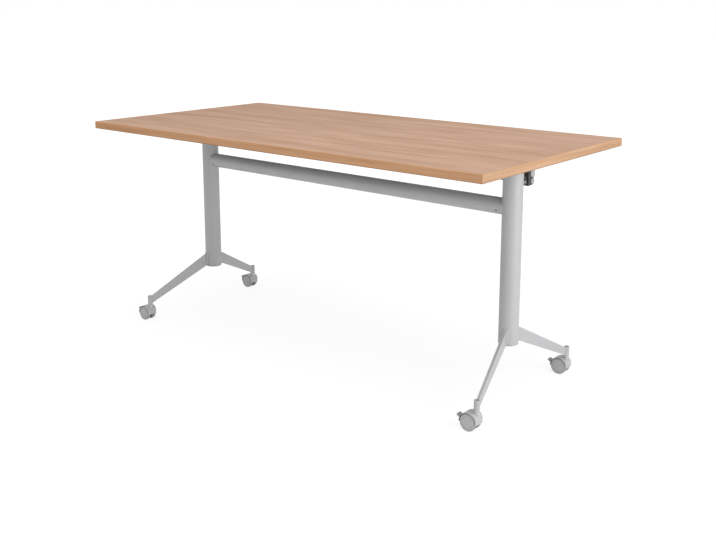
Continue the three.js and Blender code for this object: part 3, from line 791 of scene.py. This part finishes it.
def make_collar(side):
    way = SIDES[side]
    end = Vector((way * COLUMN_X, 0, BEAM_Z))
    piece = add_rod(BEAM_RADIUS, end - X * way * 3 * BEAM_RADIUS, end, sizes().tube_facets)
    keep_inside(piece, column_core(side, COLUMN_RADIUS + sizes().collar_width - 0.5 * MM))
    cut_away(piece, column_core(side, COLUMN_RADIUS))
    soften(piece, 0.5 * MM)
    hand_over(piece, f"beam_collar_{side}", "frame", "silver_paint", f"beam_saddle_{side}")


def hex_hole(at, axis, width, depth):
    return add_rod(width / math.sqrt(3), at - axis * depth, at + axis * depth, 6)


def make_beam_screw(side):
    """A socket screw through the lower front of the beam into its saddle."""
    tilt = math.radians(-25)
    axis = Vector((0, -math.cos(tilt), math.sin(tilt)))
    from_column = 41.5 * MM
    seat = Vector((SIDES[side] * (COLUMN_X - from_column), 0, BEAM_Z)) + axis * (BEAM_RADIUS - 0.6 * MM)
    radius = 3.4 * MM
    height = 1.5 * MM
    crown = height / 2
    profile = [(0, 0), (radius, 0), *arc((radius - crown, crown), crown, 0, 90, 5), (0, height)]
    piece = turn(profile, seat, axis, 32)
    cut_away(piece, hex_hole(seat + axis * height, axis, 3.2 * MM, 1.2 * MM))
    # Painted shade: the screw takes the darkened steel for the shade in its recess.
    hand_over(piece, f"beam_screw_{side}", "frame", "steel", finish="shaded_steel")


# Feet and sockets

class FootLine:
    """The upright plane that a foot lies in, from its column's axis to its castor's axis."""

    def __init__(self, corner, side):
        castor = joint_place(f"castor_swivel_{corner}")
        self.start = Vector((SIDES[side] * COLUMN_X, 0, 0))
        run = Vector((castor.x, castor.y, 0)) - self.start
        self.reach = run.length
        self.along = run.normalized()
        self.across = self.along.cross(Z)
        self.root = COLUMN_RADIUS
        self.tip = self.reach - SOCKET_RADIUS
        self.tip_top = SOCKET_HIGH.z - 1 * MM

    def height(self, distance, at_root, at_tip):
        return at_root + (at_tip - at_root) * (distance - self.root) / (self.tip - self.root)

    def lower(self, distance):
        return self.height(distance, COLUMN_LOW.z, self.tip_top - sizes().foot_tip)

    def upper(self, distance):
        return self.height(distance, COLUMN_LOW.z + sizes().foot_root, self.tip_top)

    def plate(self, first, last, thickness, rise=0.0, lift=0.0):
        """A slice of the foot between two distances, with its upper and lower edges raised."""
        flat = [
            (first, self.lower(first) + lift),
            (last, self.lower(last) + lift),
            (last, self.upper(last) + rise),
            (first, self.upper(first) + rise),
        ]
        corner = self.start - self.across * thickness / 2
        points = [corner + self.along * distance + Z * height for distance, height in flat]
        return draw_plate(points, self.across * thickness)


def make_foot(corner, side):
    line = FootLine(corner, side)
    piece = line.plate(line.root / 2, line.reach, sizes().foot_thickness)
    cut_away(piece, column_core(side, COLUMN_RADIUS + WELD_GAP))
    castor = line.start + line.along * line.reach
    cut_away(piece, add_rod(SOCKET_RADIUS + WELD_GAP, castor, castor + Z * HINGE.z, sizes().part_facets))
    soften(piece, sizes().plate_round, 3)
    hand_over(piece, f"blade_foot_{corner}", "frame", "silver_paint", f"foot_{corner}")


def make_root_weld(corner, side):
    """A fillet of weld under the paint, where a foot meets its column."""
    line = FootLine(corner, side)
    bead = sizes().root_weld
    piece = line.plate(line.root / 2, line.root + bead, sizes().foot_thickness + 2 * bead, bead / 2, bead / 2)
    soften(piece, 0.9 * bead, 6)
    cut_away(piece, column_core(side, COLUMN_RADIUS - WELD_SINK))
    hand_over(piece, f"root_weld_{corner}", "frame", "silver_paint")


def make_tip_weld(corner, side):
    """A smaller fillet where a foot meets its castor socket."""
    line = FootLine(corner, side)
    bead = 1.2 * MM
    piece = line.plate(line.tip - bead, line.reach, sizes().foot_thickness + 2 * bead, -0.5 * MM, 0.5 * MM)
    castor = line.start + line.along * line.reach
    cut_away(piece, add_rod(SOCKET_RADIUS - WELD_SINK, castor, castor + Z * HINGE.z, sizes().part_facets))
    soften(piece, 0.8 * bead, 3)
    hand_over(piece, f"tip_weld_{corner}", "frame", "silver_paint")


def make_socket(corner):
    node = f"castor_socket_{corner}"
    low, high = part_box(node)
    bore = 5.3 * MM
    arris = 0.8 * MM
    length = high.z - low.z
    outer = arc((SOCKET_RADIUS - arris, length - arris), arris, 0, 90, 4)
    profile = [
        (bore, 0),
        (SOCKET_RADIUS - 0.4 * MM, 0),
        (SOCKET_RADIUS, 0.4 * MM),
        *outer,
        (bore + 0.6 * MM, length),
        (bore, length - 0.6 * MM),
        (bore, 0),
    ]
    middle = node_centre(node)
    piece = turn(profile, (middle.x, middle.y, low.z), Z, sizes().part_facets)
    hand_over(piece, f"socket_tube_{corner}", "frame", "silver_paint", node)


# Castors

def make_stem(corner):
    node = f"castor_stem_{corner}"
    low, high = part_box(node)
    flange_low = SWIVEL_DEPTH
    flange_high = flange_low + 2.4 * MM
    length = high.z - low.z
    profile = [
        (0, 0),
        (3.4 * MM, 0),
        (4 * MM, 0.6 * MM),
        (4 * MM, flange_low),
        (7.6 * MM, flange_low),
        (8 * MM, flange_low + 0.4 * MM),
        (8 * MM, flange_high - 0.4 * MM),
        (7.6 * MM, flange_high),
        (5 * MM, flange_high),
        (5 * MM, length - 1 * MM),
        (4 * MM, length),
        (0, length),
    ]
    middle = node_centre(node)
    piece = turn(profile, (middle.x, middle.y, low.z), Z, sizes().part_facets)
    # The stem pins take the brightened steel, a painted highlight.
    hand_over(piece, f"stem_pin_{corner}", "frame", "steel", node, finish="highlight_steel")


class CastorPlace:
    """Where a castor's stem axis and axle lie."""

    def __init__(self, corner):
        self.stem = joint_place(f"castor_swivel_{corner}")
        self.axle = joint_place(f"wheel_spin_fore_{corner}")
        self.wheel_radius = self.axle.z
        low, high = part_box(f"castor_hood_{corner}")
        self.half_width = (high.y - low.y) / 2
        self.boss_top = high.z


def make_hood(corner):
    """A moulded hood round the wheels, fuller under the stem, with a slot for the brake."""
    place = CastorPlace(corner)
    facets = sizes().tube_facets
    well = place.wheel_radius + sizes().hood_gap
    outer = well + sizes().hood_wall
    half_web = sizes().web_width / 2
    boss_radius = 8.5 * MM
    swivel_bore = 4.3 * MM
    brake_seat = 4.3 * MM
    far = 3 * place.half_width
    bend = outer - sizes().hood_corner
    dip = math.degrees(math.asin(sizes().hood_lip / outer))
    flat = [
        (outer, -sizes().hood_lip),
        *arc((bend, bend), sizes().hood_corner, 0, 90, 16),
        *arc((0, 0), outer, 93, 180 + dip, 30),
    ]
    near = place.axle - Y * place.half_width
    piece = draw_plate([near + X * x + Z * z for x, z in flat], Y * 2 * place.half_width)
    soften(piece, 0.7 * MM, 3)
    stem_foot = Vector((place.stem.x, place.stem.y, place.wheel_radius))
    boss = add_rod(boss_radius, stem_foot, stem_foot + Z * (place.boss_top - place.wheel_radius), facets)
    soften(boss, 0.8 * MM, 3)
    weld_on(piece, boss)
    for way in (-1, 1):
        cut_away(piece, add_rod(well, place.axle + Y * way * half_web, place.axle + Y * way * far, facets))
    bore_low = stem_foot + Z * (place.boss_top - place.wheel_radius - SWIVEL_DEPTH)
    cut_away(piece, add_rod(swivel_bore, bore_low, bore_low + Z * far, facets))
    cut_away(piece, add_rod(AXLE_BORE, place.axle - Y * far, place.axle + Y * far, facets))
    pivot = joint_place(f"brake_press_{corner}")
    half_slot = half_web + 0.6 * MM
    rise = 10 * MM
    low = (pivot.x - far, pivot.y - half_slot, pivot.z - rise)
    high = (pivot.x + 3.5 * MM, pivot.y + half_slot, pivot.z + rise)
    cut_away(piece, add_block(low, high))
    cut_away(piece, add_rod(brake_seat, pivot - Y * half_slot, pivot + Y * half_slot, facets))
    hand_over(piece, f"hood_{corner}", f"castor_{corner}", "grey_plastic", f"castor_hood_{corner}")


def make_web_shade(corner):
    """The lower half of the web, in the gap between the wheels, in near black as painted shade."""
    place = CastorPlace(corner)
    half_web = sizes().web_width / 2
    far = 3 * place.half_width
    lip = place.wheel_radius - sizes().hood_lip
    radius = 19 * MM
    piece = add_rod(radius, place.axle - Y * half_web, place.axle + Y * half_web, sizes().tube_facets)
    low = (place.axle.x - far, place.axle.y - far, lip)
    high = (place.axle.x + far, place.axle.y + far, lip + far)
    cut_away(piece, add_block(low, high))
    cut_away(piece, add_rod(AXLE_BORE, place.axle - Y * far, place.axle + Y * far, sizes().part_facets))
    soften(piece, 0.5 * MM, 2)
    hand_over(piece, f"hood_web_shade_{corner}", f"castor_{corner}", "dark_plastic", finish="web_shade")


def make_wheel(corner, end):
    """A moulded wheel with a raised rim, a groove and a crowned face, and its tyre."""
    row = "fore" if end == "front" else "aft"
    name = f"wheel_{row}_{corner}"
    place = CastorPlace(corner)
    low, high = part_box(name)
    inner = sizes().web_width / 2 + 0.5 * MM
    outer = inner + (high.y - low.y)
    seat = place.wheel_radius - sizes().tyre
    rim = seat - 3.4 * MM
    dish = outer - 0.9 * MM
    blind = outer - 3 * MM
    flank = 0.8 * MM
    profile = [
        (0, blind),
        (AXLE_BORE, blind),
        (AXLE_BORE, inner),
        (seat, inner),
        (seat, outer - flank),
        *arc((seat - flank, outer - flank), flank, 0, 90, 4),
        (rim + 0.3 * MM, outer),
        (rim, outer - 0.3 * MM),
        (rim, dish - 0.5 * MM),
        (rim - 0.7 * MM, dish - 0.5 * MM),
        (rim - 1 * MM, dish),
        (rim * 0.66, dish + 0.35 * MM),
        (rim * 0.33, dish + 0.55 * MM),
        (0, dish + 0.6 * MM),
    ]
    axis = Y * ENDS[end]
    piece = turn(profile, place.axle, axis, sizes().tube_facets)
    hand_over(piece, f"castor_{name}", name, "grey_plastic", name)
    tread = place.wheel_radius
    shoulder = 2 * MM
    section = [
        (seat, inner),
        *arc((tread - shoulder, inner + shoulder), shoulder, -90, 0, 5),
        *arc((tread - shoulder, outer - 0.4 * MM - shoulder), shoulder, 0, 90, 5),
        (seat, outer - 0.4 * MM),
        (seat, inner),
    ]
    tyre = turn(section, place.axle, axis, sizes().tube_facets)
    hand_over(tyre, f"tyre_{row}_{corner}", name, "dark_plastic", finish="tyre")


def make_brake(corner):
    """A tilted brake tab with rounded corners and a thumb dish, on an arm and a round hub."""
    pivot = joint_place(f"brake_press_{corner}")
    node = f"brake_lever_{corner}"
    low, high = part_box(node)
    half_tab = (high.y - low.y) / 2
    half_arm = 4.7 * MM
    half_thick = 2.5 * MM
    hub = 4 * MM
    length, tilt = sizes().tab_length, sizes().tab_tilt
    root = low.x + length * math.cos(tilt) + half_thick * math.sin(tilt)
    tab = add_block((-length, -half_tab, -half_thick), (0, half_tab, half_thick))
    start_edit(tab, "EDGE")
    pick_edges(tab, lambda at, way: abs(way.z) > 0.5 and at.x < -length / 2)
    bpy.ops.mesh.bevel(offset=2.5 * MM, segments=5, affect="EDGES")
    bpy.ops.mesh.select_mode(type="FACE")
    pick_faces(tab, lambda at, normal: normal.z > 0.9)
    bpy.ops.mesh.inset(thickness=1.8 * MM)
    bpy.ops.transform.translate(value=(0, 0, -0.9 * MM))
    end_edit()
    soften(tab, 0.5 * MM, 2)
    tab.rotation_euler = (0, tilt, 0)
    tab.location = (root, pivot.y, pivot.z)
    settle(tab)
    arm = add_block(
        (root - 1.5 * MM, pivot.y - half_arm, pivot.z - half_thick + 0.2 * MM),
        (pivot.x, pivot.y + half_arm, pivot.z + half_thick - 0.2 * MM))
    weld_on(tab, arm)
    weld_on(tab, add_rod(hub, pivot - Y * half_arm, pivot + Y * half_arm, sizes().part_facets))
    hand_over(tab, f"brake_tab_{corner}", f"brake_{corner}", "dark_plastic", node)


def finish_axle(corner):
    """The axle stays as its CAD solid, hidden in the wheels' blind bores."""
    axle = frame["nodes"][f"castor_axle_{corner}"]
    axle.data.materials.clear()
    axle.data.materials.append(finish_named("steel"))


# Support arms

def make_support_arm(side):
    """A folded channel under the board, with an ear on the hinge and a cheek round the release rod."""
    node = f"support_arm_{side}"
    way = SIDES[side]
    low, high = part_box(node)
    half = (high.x - low.x) / 2
    centre = Vector((node_centre(node).x, 0, 0))
    plate, lip, depth, bend = 4 * MM, 3 * MM, 14 * MM, 2 * MM
    top = high.z
    section = [
        (-half, top - depth),
        *arc((-half + bend, top - bend), bend, 180, 90, 4),
        *arc((half - bend, top - bend), bend, 90, 0, 4),
        (half, top - depth),
        (half - lip, top - depth),
        (half - lip, top - plate),
        (lip - half, top - plate),
        (lip - half, top - depth),
    ]
    piece = draw_plate([centre + X * x + Y * low.y + Z * z for x, z in section], Y * (high.y - low.y))
    seat = top - plate / 2
    shoulder, ear_radius, ear_gap, ear_thickness = 45 * MM, 25 * MM, 1 * MM, 5 * MM
    ear_flat = [(shoulder, seat), (-shoulder, seat), *arc((0, HINGE.z), ear_radius, 180, 360, 32)]
    ear_start = centre - X * way * (COLUMN_RADIUS + ear_gap)
    ear_points = [ear_start + Y * y + Z * z for y, z in ear_flat]
    weld_on(piece, draw_plate(ear_points, -X * way * ear_thickness))
    lever_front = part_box(f"release_lever_{side}")[0].y
    cheek_edge, cheek_lift, cheek_thickness = 14 * MM, 13 * MM, 3 * MM
    bottom = ROD_AXIS.z - cheek_edge
    back = ROD_AXIS.y + 70 * MM
    cheek_flat = [
        (lever_front, bottom),
        (ROD_AXIS.y + cheek_edge, bottom),
        (back, bottom + cheek_lift),
        (back, seat),
        (lever_front, seat),
    ]
    cheek_start = centre - X * way * 15.9 * MM
    cheek_points = [cheek_start + Y * y + Z * z for y, z in cheek_flat]
    weld_on(piece, draw_plate(cheek_points, -X * way * cheek_thickness))
    facets = sizes().part_facets
    hinge = Vector((centre.x, 0, HINGE.z))
    cut_away(piece, add_rod(PIN_BORE, hinge, hinge - X * way * 2 * COLUMN_RADIUS, facets))
    rod = Vector((centre.x, ROD_AXIS.y, ROD_AXIS.z))
    rod_hole = 8.3 * MM
    cut_away(piece, add_rod(rod_hole, rod - X * half, rod + X * half, facets))
    soften(piece, 0.4 * MM)
    hand_over(piece, f"folded_arm_{side}", "top", "silver_paint", node)


def make_arm_screws(side):
    """Pan-head screws that hold an arm to the board, driven from below."""
    node = f"support_arm_{side}"
    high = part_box(node)[1]
    middle = node_centre(node)
    seat = Vector((middle.x, 0, high.z - 4 * MM))
    radius, height = 4.6 * MM, 2.8 * MM
    sink, rim, crown = 0.5 * MM, 0.6 * MM, 2.2 * MM
    profile = [
        (0, -sink),
        (radius, -sink),
        (radius, rim),
        *arc((radius - crown, rim), crown, 0, 80, 6),
        (0, height),
    ]
    screw = turn(profile, seat, -Z, 32)
    half_slot, half_gap, depth = 2.4 * MM, 0.55 * MM, 1.6 * MM
    tip = seat - Z * height
    for long_way, cross_way in ((X, Y), (Y, X)):
        slot = long_way * half_slot + cross_way * half_gap + Z * depth
        cut_away(screw, add_block(tip - slot, tip + slot))
    half_gauge, near_row, far_row = 30 * MM, 120 * MM, 225 * MM
    rows = (-far_row, -near_row, near_row, far_row)
    offsets = [Vector((x, y, 0)) for x in (-half_gauge, half_gauge) for y in rows]
    pieces = [copy_piece(screw, offset) for offset in offsets]
    bpy.data.objects.remove(screw)
    hand_over(join_pieces(pieces), f"arm_screws_{side}", "top", "steel")


# Hinge pins, buffers and keepers

def make_pivot_pin(side):
    node = f"pivot_pin_{side}"
    low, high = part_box(node)
    way = -SIDES[side]
    length = high.x - low.x
    root = Vector((low.x if way > 0 else high.x, 0, HINGE.z))
    shank, head, thick = 6 * MM, 10 * MM, 4 * MM
    profile = [
        (0, 0),
        (shank - 0.6 * MM, 0),
        (shank, 0.6 * MM),
        (shank, length - thick),
        (head, length - thick),
        *arc((head - 1.5 * MM, length - 1.5 * MM), 1.5 * MM, 0, 90, 5),
        (0, length),
    ]
    piece = turn(profile, root, X * way, sizes().part_facets)
    tip = root + X * way * length
    cut_away(piece, hex_hole(tip, X, 7 * MM, 2.5 * MM))
    hand_over(piece, f"hinge_pin_{side}", "frame", "steel", node)


def make_stop_buffer(side):
    node = f"stop_buffer_{side}"
    low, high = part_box(node)
    middle = node_centre(node)
    radius = (high.y - low.y) / 2
    height = high.z - low.z
    arris = 1.5 * MM
    profile = [
        (0, 0),
        *arc((radius - arris, arris), arris, -90, 0, 4),
        (radius, 0.4 * height),
        *arc((radius + 1 * MM, 0.5 * height), 2 * MM, 240, 120, 6),
        (radius, 0.6 * height),
        *arc((radius - arris, height - arris), arris, 0, 90, 4),
        (0, height),
    ]
    piece = turn(profile, (middle.x, middle.y, low.z), Z, sizes().part_facets)
    hand_over(piece, f"rubber_stop_{side}", "frame", "rubber", node)


def make_keeper(side):
    node = f"latch_keeper_{side}"
    low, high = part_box(node)
    piece = add_block((low.x, 0, low.z), high)
    cut_away(piece, column_core(side, COLUMN_RADIUS + WELD_GAP))
    soften(piece, 0.8 * MM, 2)
    # Painted shade: the keeper takes the darkened steel for the shade under the board.
    hand_over(piece, f"keeper_lug_{side}", "frame", "steel", node, finish="shaded_steel")


# Release gear

def make_release_lever(side):
    """A moulded grip with a round hub on the rod and a pocket for the hook."""
    node = f"release_lever_{side}"
    way = SIDES[side]
    low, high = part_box(node)
    outer_face = high.x if way > 0 else low.x
    width = high.x - low.x
    hub = 12 * MM
    pocket_top = ROD_AXIS.z + 14 * MM
    back = low.y + 15.3 * MM
    flat = [
        (low.y, low.z),
        *arc((ROD_AXIS.y, ROD_AXIS.z), hub, -90, 90, 24),
        (back, pocket_top),
        (back, high.z),
        (low.y, high.z),
    ]
    start = Vector((outer_face, 0, 0))
    piece = draw_plate([start + Y * y + Z * z for y, z in flat], -X * way * width)
    side_wall, pocket_depth = 6.3 * MM, 12.3 * MM
    inner_face = outer_face - way * (width + 1 * MM)
    wall_face = outer_face - way * side_wall
    x_low, x_high = sorted((inner_face, wall_face))
    pocket_low = (x_low, low.y - 1 * MM, low.z - 2 * MM)
    pocket_high = (x_high, low.y + pocket_depth, pocket_top)
    cut_away(piece, add_block(pocket_low, pocket_high))
    rod = Vector((outer_face, ROD_AXIS.y, ROD_AXIS.z))
    rod_hole = 8.2 * MM
    cut_away(piece, add_rod(rod_hole, rod - X * 2 * width, rod + X * 2 * width, sizes().part_facets))
    soften(piece, 0.7 * MM, 3)
    hand_over(piece, f"grip_{side}", "release", "black_plastic", node)


def make_latch_hook(side):
    node = f"latch_hook_{side}"
    piece = copy_node(node)
    soften(piece, 0.5 * MM, 2)
    # Painted shade: the hook takes the darkened steel for the shade under the board.
    hand_over(piece, f"hook_{side}", "release", "steel", node, finish="shaded_steel")


def make_release_rod():
    low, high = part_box("release_rod")
    radius = (high.z - low.z) / 2
    start = Vector((low.x, ROD_AXIS.y, ROD_AXIS.z))
    end = Vector((high.x, ROD_AXIS.y, ROD_AXIS.z))
    piece = add_tube(radius, 1.5 * MM, start, end, sizes().part_facets)
    soften(piece, 0.3 * MM)
    hand_over(piece, "long_rod", "release", "steel", "release_rod")


def make_rod_plug(side):
    """A grey cap that closes the rod's end outside the lever."""
    way = SIDES[side]
    low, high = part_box("release_rod")
    face = Vector((high.x if way > 0 else low.x, ROD_AXIS.y, ROD_AXIS.z))
    radius, rise = 8.6 * MM, 1.6 * MM
    spigot, depth = 6.3 * MM, 6 * MM
    profile = [
        (0, -depth),
        (spigot, -depth),
        (spigot, 0.1 * MM),
        (radius, 0.1 * MM),
        *arc((radius - 1 * MM, rise - 1 * MM), 1 * MM, 0, 75, 4),
        (0, rise + 0.2 * MM),
    ]
    piece = turn(profile, face, X * way, sizes().part_facets)
    hand_over(piece, f"rod_plug_{side}", "release", "grey_plastic", finish="tyre")


def make_return_spring():
    """A wound return spring beside the right-hand cheek."""
    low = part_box("return_spring")[0]
    wire = 1 * MM
    turns = 6
    pitch = 4 * MM
    coil = 8 * MM + 0.35 * MM + wire
    start = Vector((low.x + wire, ROD_AXIS.y, ROD_AXIS.z))
    fresh_start()
    bpy.ops.mesh.primitive_circle_add(
        vertices=12, radius=wire, fill_type="NGON", location=start + Y * coil)
    piece = bpy.context.object
    settle(piece)
    piece.data.transform(Matrix.Translation(-start))
    apply_modifier(piece, "SCREW", axis="X", angle=FULL_TURN, screw_offset=pitch, iterations=turns,
                   steps=32, render_steps=32, use_merge_vertices=False)
    piece.location = start
    settle(piece)
    start_edit(piece)
    bpy.ops.mesh.select_all(action="SELECT")
    bpy.ops.mesh.fill_holes(sides=12)
    close_up()
    hand_over(piece, "wound_spring", "release", "steel", "return_spring")


# Stage

def aim(thing, target):
    thing.rotation_euler = (Vector(target) - thing.location).to_track_quat("-Z", "Y").to_euler()


def add_camera(stage):
    fresh_start()
    bpy.ops.object.camera_add(location=stage.camera_place)
    camera = bpy.context.object
    ahead = Vector((
        math.cos(stage.camera_pitch) * math.cos(stage.camera_yaw),
        math.cos(stage.camera_pitch) * math.sin(stage.camera_yaw),
        math.sin(stage.camera_pitch),
    ))
    aim(camera, camera.location + ahead)
    camera.data.lens = stage.focal_pixels * camera.data.sensor_width / PHOTO_WIDTH
    camera.data.shift_y = stage.lens_shift
    camera.data.dof.use_dof = False
    bpy.context.scene.camera = camera


def add_lamp(name, power, place, target, size):
    fresh_start()
    bpy.ops.object.light_add(type="AREA", location=place)
    lamp = bpy.context.object
    lamp.name = name
    lamp.data.shape = "DISK"
    lamp.data.size = size
    lamp.data.energy = power
    aim(lamp, target)


def seen_directly(tree):
    """One where a camera, mirror or glass ray arrives, nought for the light itself."""
    path = tree.nodes.new("ShaderNodeLightPath")
    total = path.outputs["Is Camera Ray"]
    for name in ("Is Glossy Ray", "Is Transmission Ray"):
        node = tree.nodes.new("ShaderNodeMath")
        node.operation = "MAXIMUM"
        tree.links.new(total, node.inputs[0])
        tree.links.new(path.outputs[name], node.inputs[1])
        total = node.outputs[0]
    return total


def light_the_room(stage):
    world = bpy.data.worlds.new("white_room")
    bpy.context.scene.world = world
    world.use_nodes = True
    tree = world.node_tree
    fill = tree.nodes["Background"]
    fill.inputs["Color"].default_value = (1, 1, 1, 1)
    fill.inputs["Strength"].default_value = stage.fill_level
    backdrop = tree.nodes.new("ShaderNodeBackground")
    backdrop.inputs["Color"].default_value = (1, 1, 1, 1)
    backdrop.inputs["Strength"].default_value = 1.0
    mix = tree.nodes.new("ShaderNodeMixShader")
    tree.links.new(seen_directly(tree), mix.inputs["Fac"])
    tree.links.new(fill.outputs["Background"], mix.inputs[1])
    tree.links.new(backdrop.outputs["Background"], mix.inputs[2])
    tree.links.new(mix.outputs["Shader"], tree.nodes["World Output"].inputs["Surface"])


def floor_finish():
    """White floor: mostly its own white where it is looked at, with the table's faint shadow near it."""
    material, tree, shader = new_finish("white_floor", 0.9)
    shader.inputs["Base Color"].default_value = (0.9, 0.9, 0.9, 1)
    shader.inputs["Specular IOR Level"].default_value = 0
    glow = tree.nodes.new("ShaderNodeEmission")
    glow.inputs["Color"].default_value = (1, 1, 1, 1)
    glow.inputs["Strength"].default_value = 1.1
    away = tree.nodes.new("ShaderNodeVectorMath")
    away.operation = "LENGTH"
    tree.links.new(object_space(tree, (1, 1, 1)), away.inputs[0])
    own_white = tree.nodes.new("ShaderNodeMath")
    own_white.operation = "MULTIPLY"
    tree.links.new(seen_directly(tree), own_white.inputs[0])
    tree.links.new(spread(tree, away.outputs["Value"], 1.1, 2.2, 0.78, 1.0), own_white.inputs[1])
    mix = tree.nodes.new("ShaderNodeMixShader")
    tree.links.new(own_white.outputs[0], mix.inputs["Fac"])
    tree.links.new(shader.outputs["BSDF"], mix.inputs[1])
    tree.links.new(glow.outputs["Emission"], mix.inputs[2])
    tree.links.new(mix.outputs["Shader"], tree.nodes["Material Output"].inputs["Surface"])
    return material


def add_floor():
    fresh_start()
    bpy.ops.mesh.primitive_plane_add(size=60, location=(0, 0, 0))
    floor = bpy.context.object
    floor.name = "studio_floor"
    floor.data.materials.append(floor_finish())


# Operators

class TABLE_OT_stage(Operator):
    """Adds the camera, the lamps, the white room and the floor"""

    bl_idname = "table.stage"
    bl_label = "Stage"

    def execute(self, context):
        stage = context.scene.table_stage
        context.scene.view_settings.view_transform = "Standard"
        add_camera(stage)
        add_lamp("side_lamp", stage.key_power, place=(2.85, -0.2, 1.1), target=(0.5, 0, 0.5), size=2.2)
        add_lamp("overhead_lamp", stage.top_power, place=(0.3, -0.4, 3.4), target=(0.1, 0, 0.7), size=3.2)
        light_the_room(stage)
        add_floor()
        return {"FINISHED"}


class TABLE_OT_board(Operator):
    """Models the board and the strips glued round it"""

    bl_idname = "table.board"
    bl_label = "Board and edging"

    def execute(self, context):
        make_board()
        for side, outward, along in (("front", -Y, X), ("back", Y, X), ("right", X, Y), ("left", -X, Y)):
            make_edge_strip(side, outward, along)
        return {"FINISHED"}


class TABLE_OT_columns(Operator):
    """Models the columns with their caps and head plugs"""

    bl_idname = "table.columns"
    bl_label = "Columns"

    def execute(self, context):
        for side in SIDES:
            make_column(side)
            make_column_cap(side)
            make_column_head(side)
        return {"FINISHED"}


class TABLE_OT_beam(Operator):
    """Models the cross beam with its collars and screws"""

    bl_idname = "table.beam"
    bl_label = "Cross beam"

    def execute(self, context):
        make_beam()
        for side in SIDES:
            make_collar(side)
            make_beam_screw(side)
        return {"FINISHED"}


class TABLE_OT_feet(Operator):
    """Models the blade feet, their welds and the castor sockets"""

    bl_idname = "table.feet"
    bl_label = "Feet"

    def execute(self, context):
        for corner, side in CORNERS:
            make_foot(corner, side)
            make_root_weld(corner, side)
            make_tip_weld(corner, side)
            make_socket(corner)
        return {"FINISHED"}


class TABLE_OT_castors(Operator):
    """Models the castors: stems, hoods, wheels and brakes"""

    bl_idname = "table.castors"
    bl_label = "Castors"

    def execute(self, context):
        for corner, _side in CORNERS:
            make_stem(corner)
            make_hood(corner)
            make_web_shade(corner)
            for end in ENDS:
                make_wheel(corner, end)
            finish_axle(corner)
            make_brake(corner)
        return {"FINISHED"}


class TABLE_OT_arms(Operator):
    """Models the support arms under the board and their screws"""

    bl_idname = "table.arms"
    bl_label = "Support arms"

    def execute(self, context):
        for side in SIDES:
            make_support_arm(side)
            make_arm_screws(side)
        return {"FINISHED"}


class TABLE_OT_hinges(Operator):
    """Models the hinge pins, rubber stops and latch keepers"""

    bl_idname = "table.hinges"
    bl_label = "Hinges"

    def execute(self, context):
        for side in SIDES:
            make_pivot_pin(side)
            make_stop_buffer(side)
            make_keeper(side)
        return {"FINISHED"}


class TABLE_OT_release(Operator):
    """Models the release rod with its grips, hooks, caps and spring"""

    bl_idname = "table.release"
    bl_label = "Release gear"

    def execute(self, context):
        make_release_rod()
        for side in SIDES:
            make_release_lever(side)
            make_latch_hook(side)
            make_rod_plug(side)
        make_return_spring()
        return {"FINISHED"}


OPERATORS = (
    TABLE_OT_stage,
    TABLE_OT_board,
    TABLE_OT_columns,
    TABLE_OT_beam,
    TABLE_OT_feet,
    TABLE_OT_castors,
    TABLE_OT_arms,
    TABLE_OT_hinges,
    TABLE_OT_release,
)


class TABLE_PT_panel(Panel):
    """Lists the table's operators, sizes and colours"""

    bl_idname = "TABLE_PT_panel"
    bl_label = "Flip top table"
    bl_space_type = "VIEW_3D"
    bl_region_type = "UI"
    bl_category = "Table"

    def draw(self, context):
        for operator in OPERATORS:
            self.layout.operator(operator.bl_idname)
        for group in (context.scene.table_sizes, context.scene.table_colours, context.scene.table_stage):
            box = self.layout.box()
            for name in group.__annotations__:
                box.prop(group, name)


CLASSES = (TableSizes, TableColours, StageSettings, *OPERATORS, TABLE_PT_panel)


def register():
    for cls in CLASSES:
        bpy.utils.register_class(cls)
    bpy.types.Scene.table_sizes = PointerProperty(type=TableSizes)
    bpy.types.Scene.table_colours = PointerProperty(type=TableColours)
    bpy.types.Scene.table_stage = PointerProperty(type=StageSettings)


def unregister():
    del bpy.types.Scene.table_stage
    del bpy.types.Scene.table_colours
    del bpy.types.Scene.table_sizes
    for cls in reversed(CLASSES):
        bpy.utils.unregister_class(cls)


def main():
    register()
    bpy.ops.table.stage()
    bpy.ops.table.board()
    bpy.ops.table.columns()
    bpy.ops.table.beam()
    bpy.ops.table.feet()
    bpy.ops.table.castors()
    bpy.ops.table.arms()
    bpy.ops.table.hinges()
    bpy.ops.table.release()


if __name__ == "__main__":
    main()
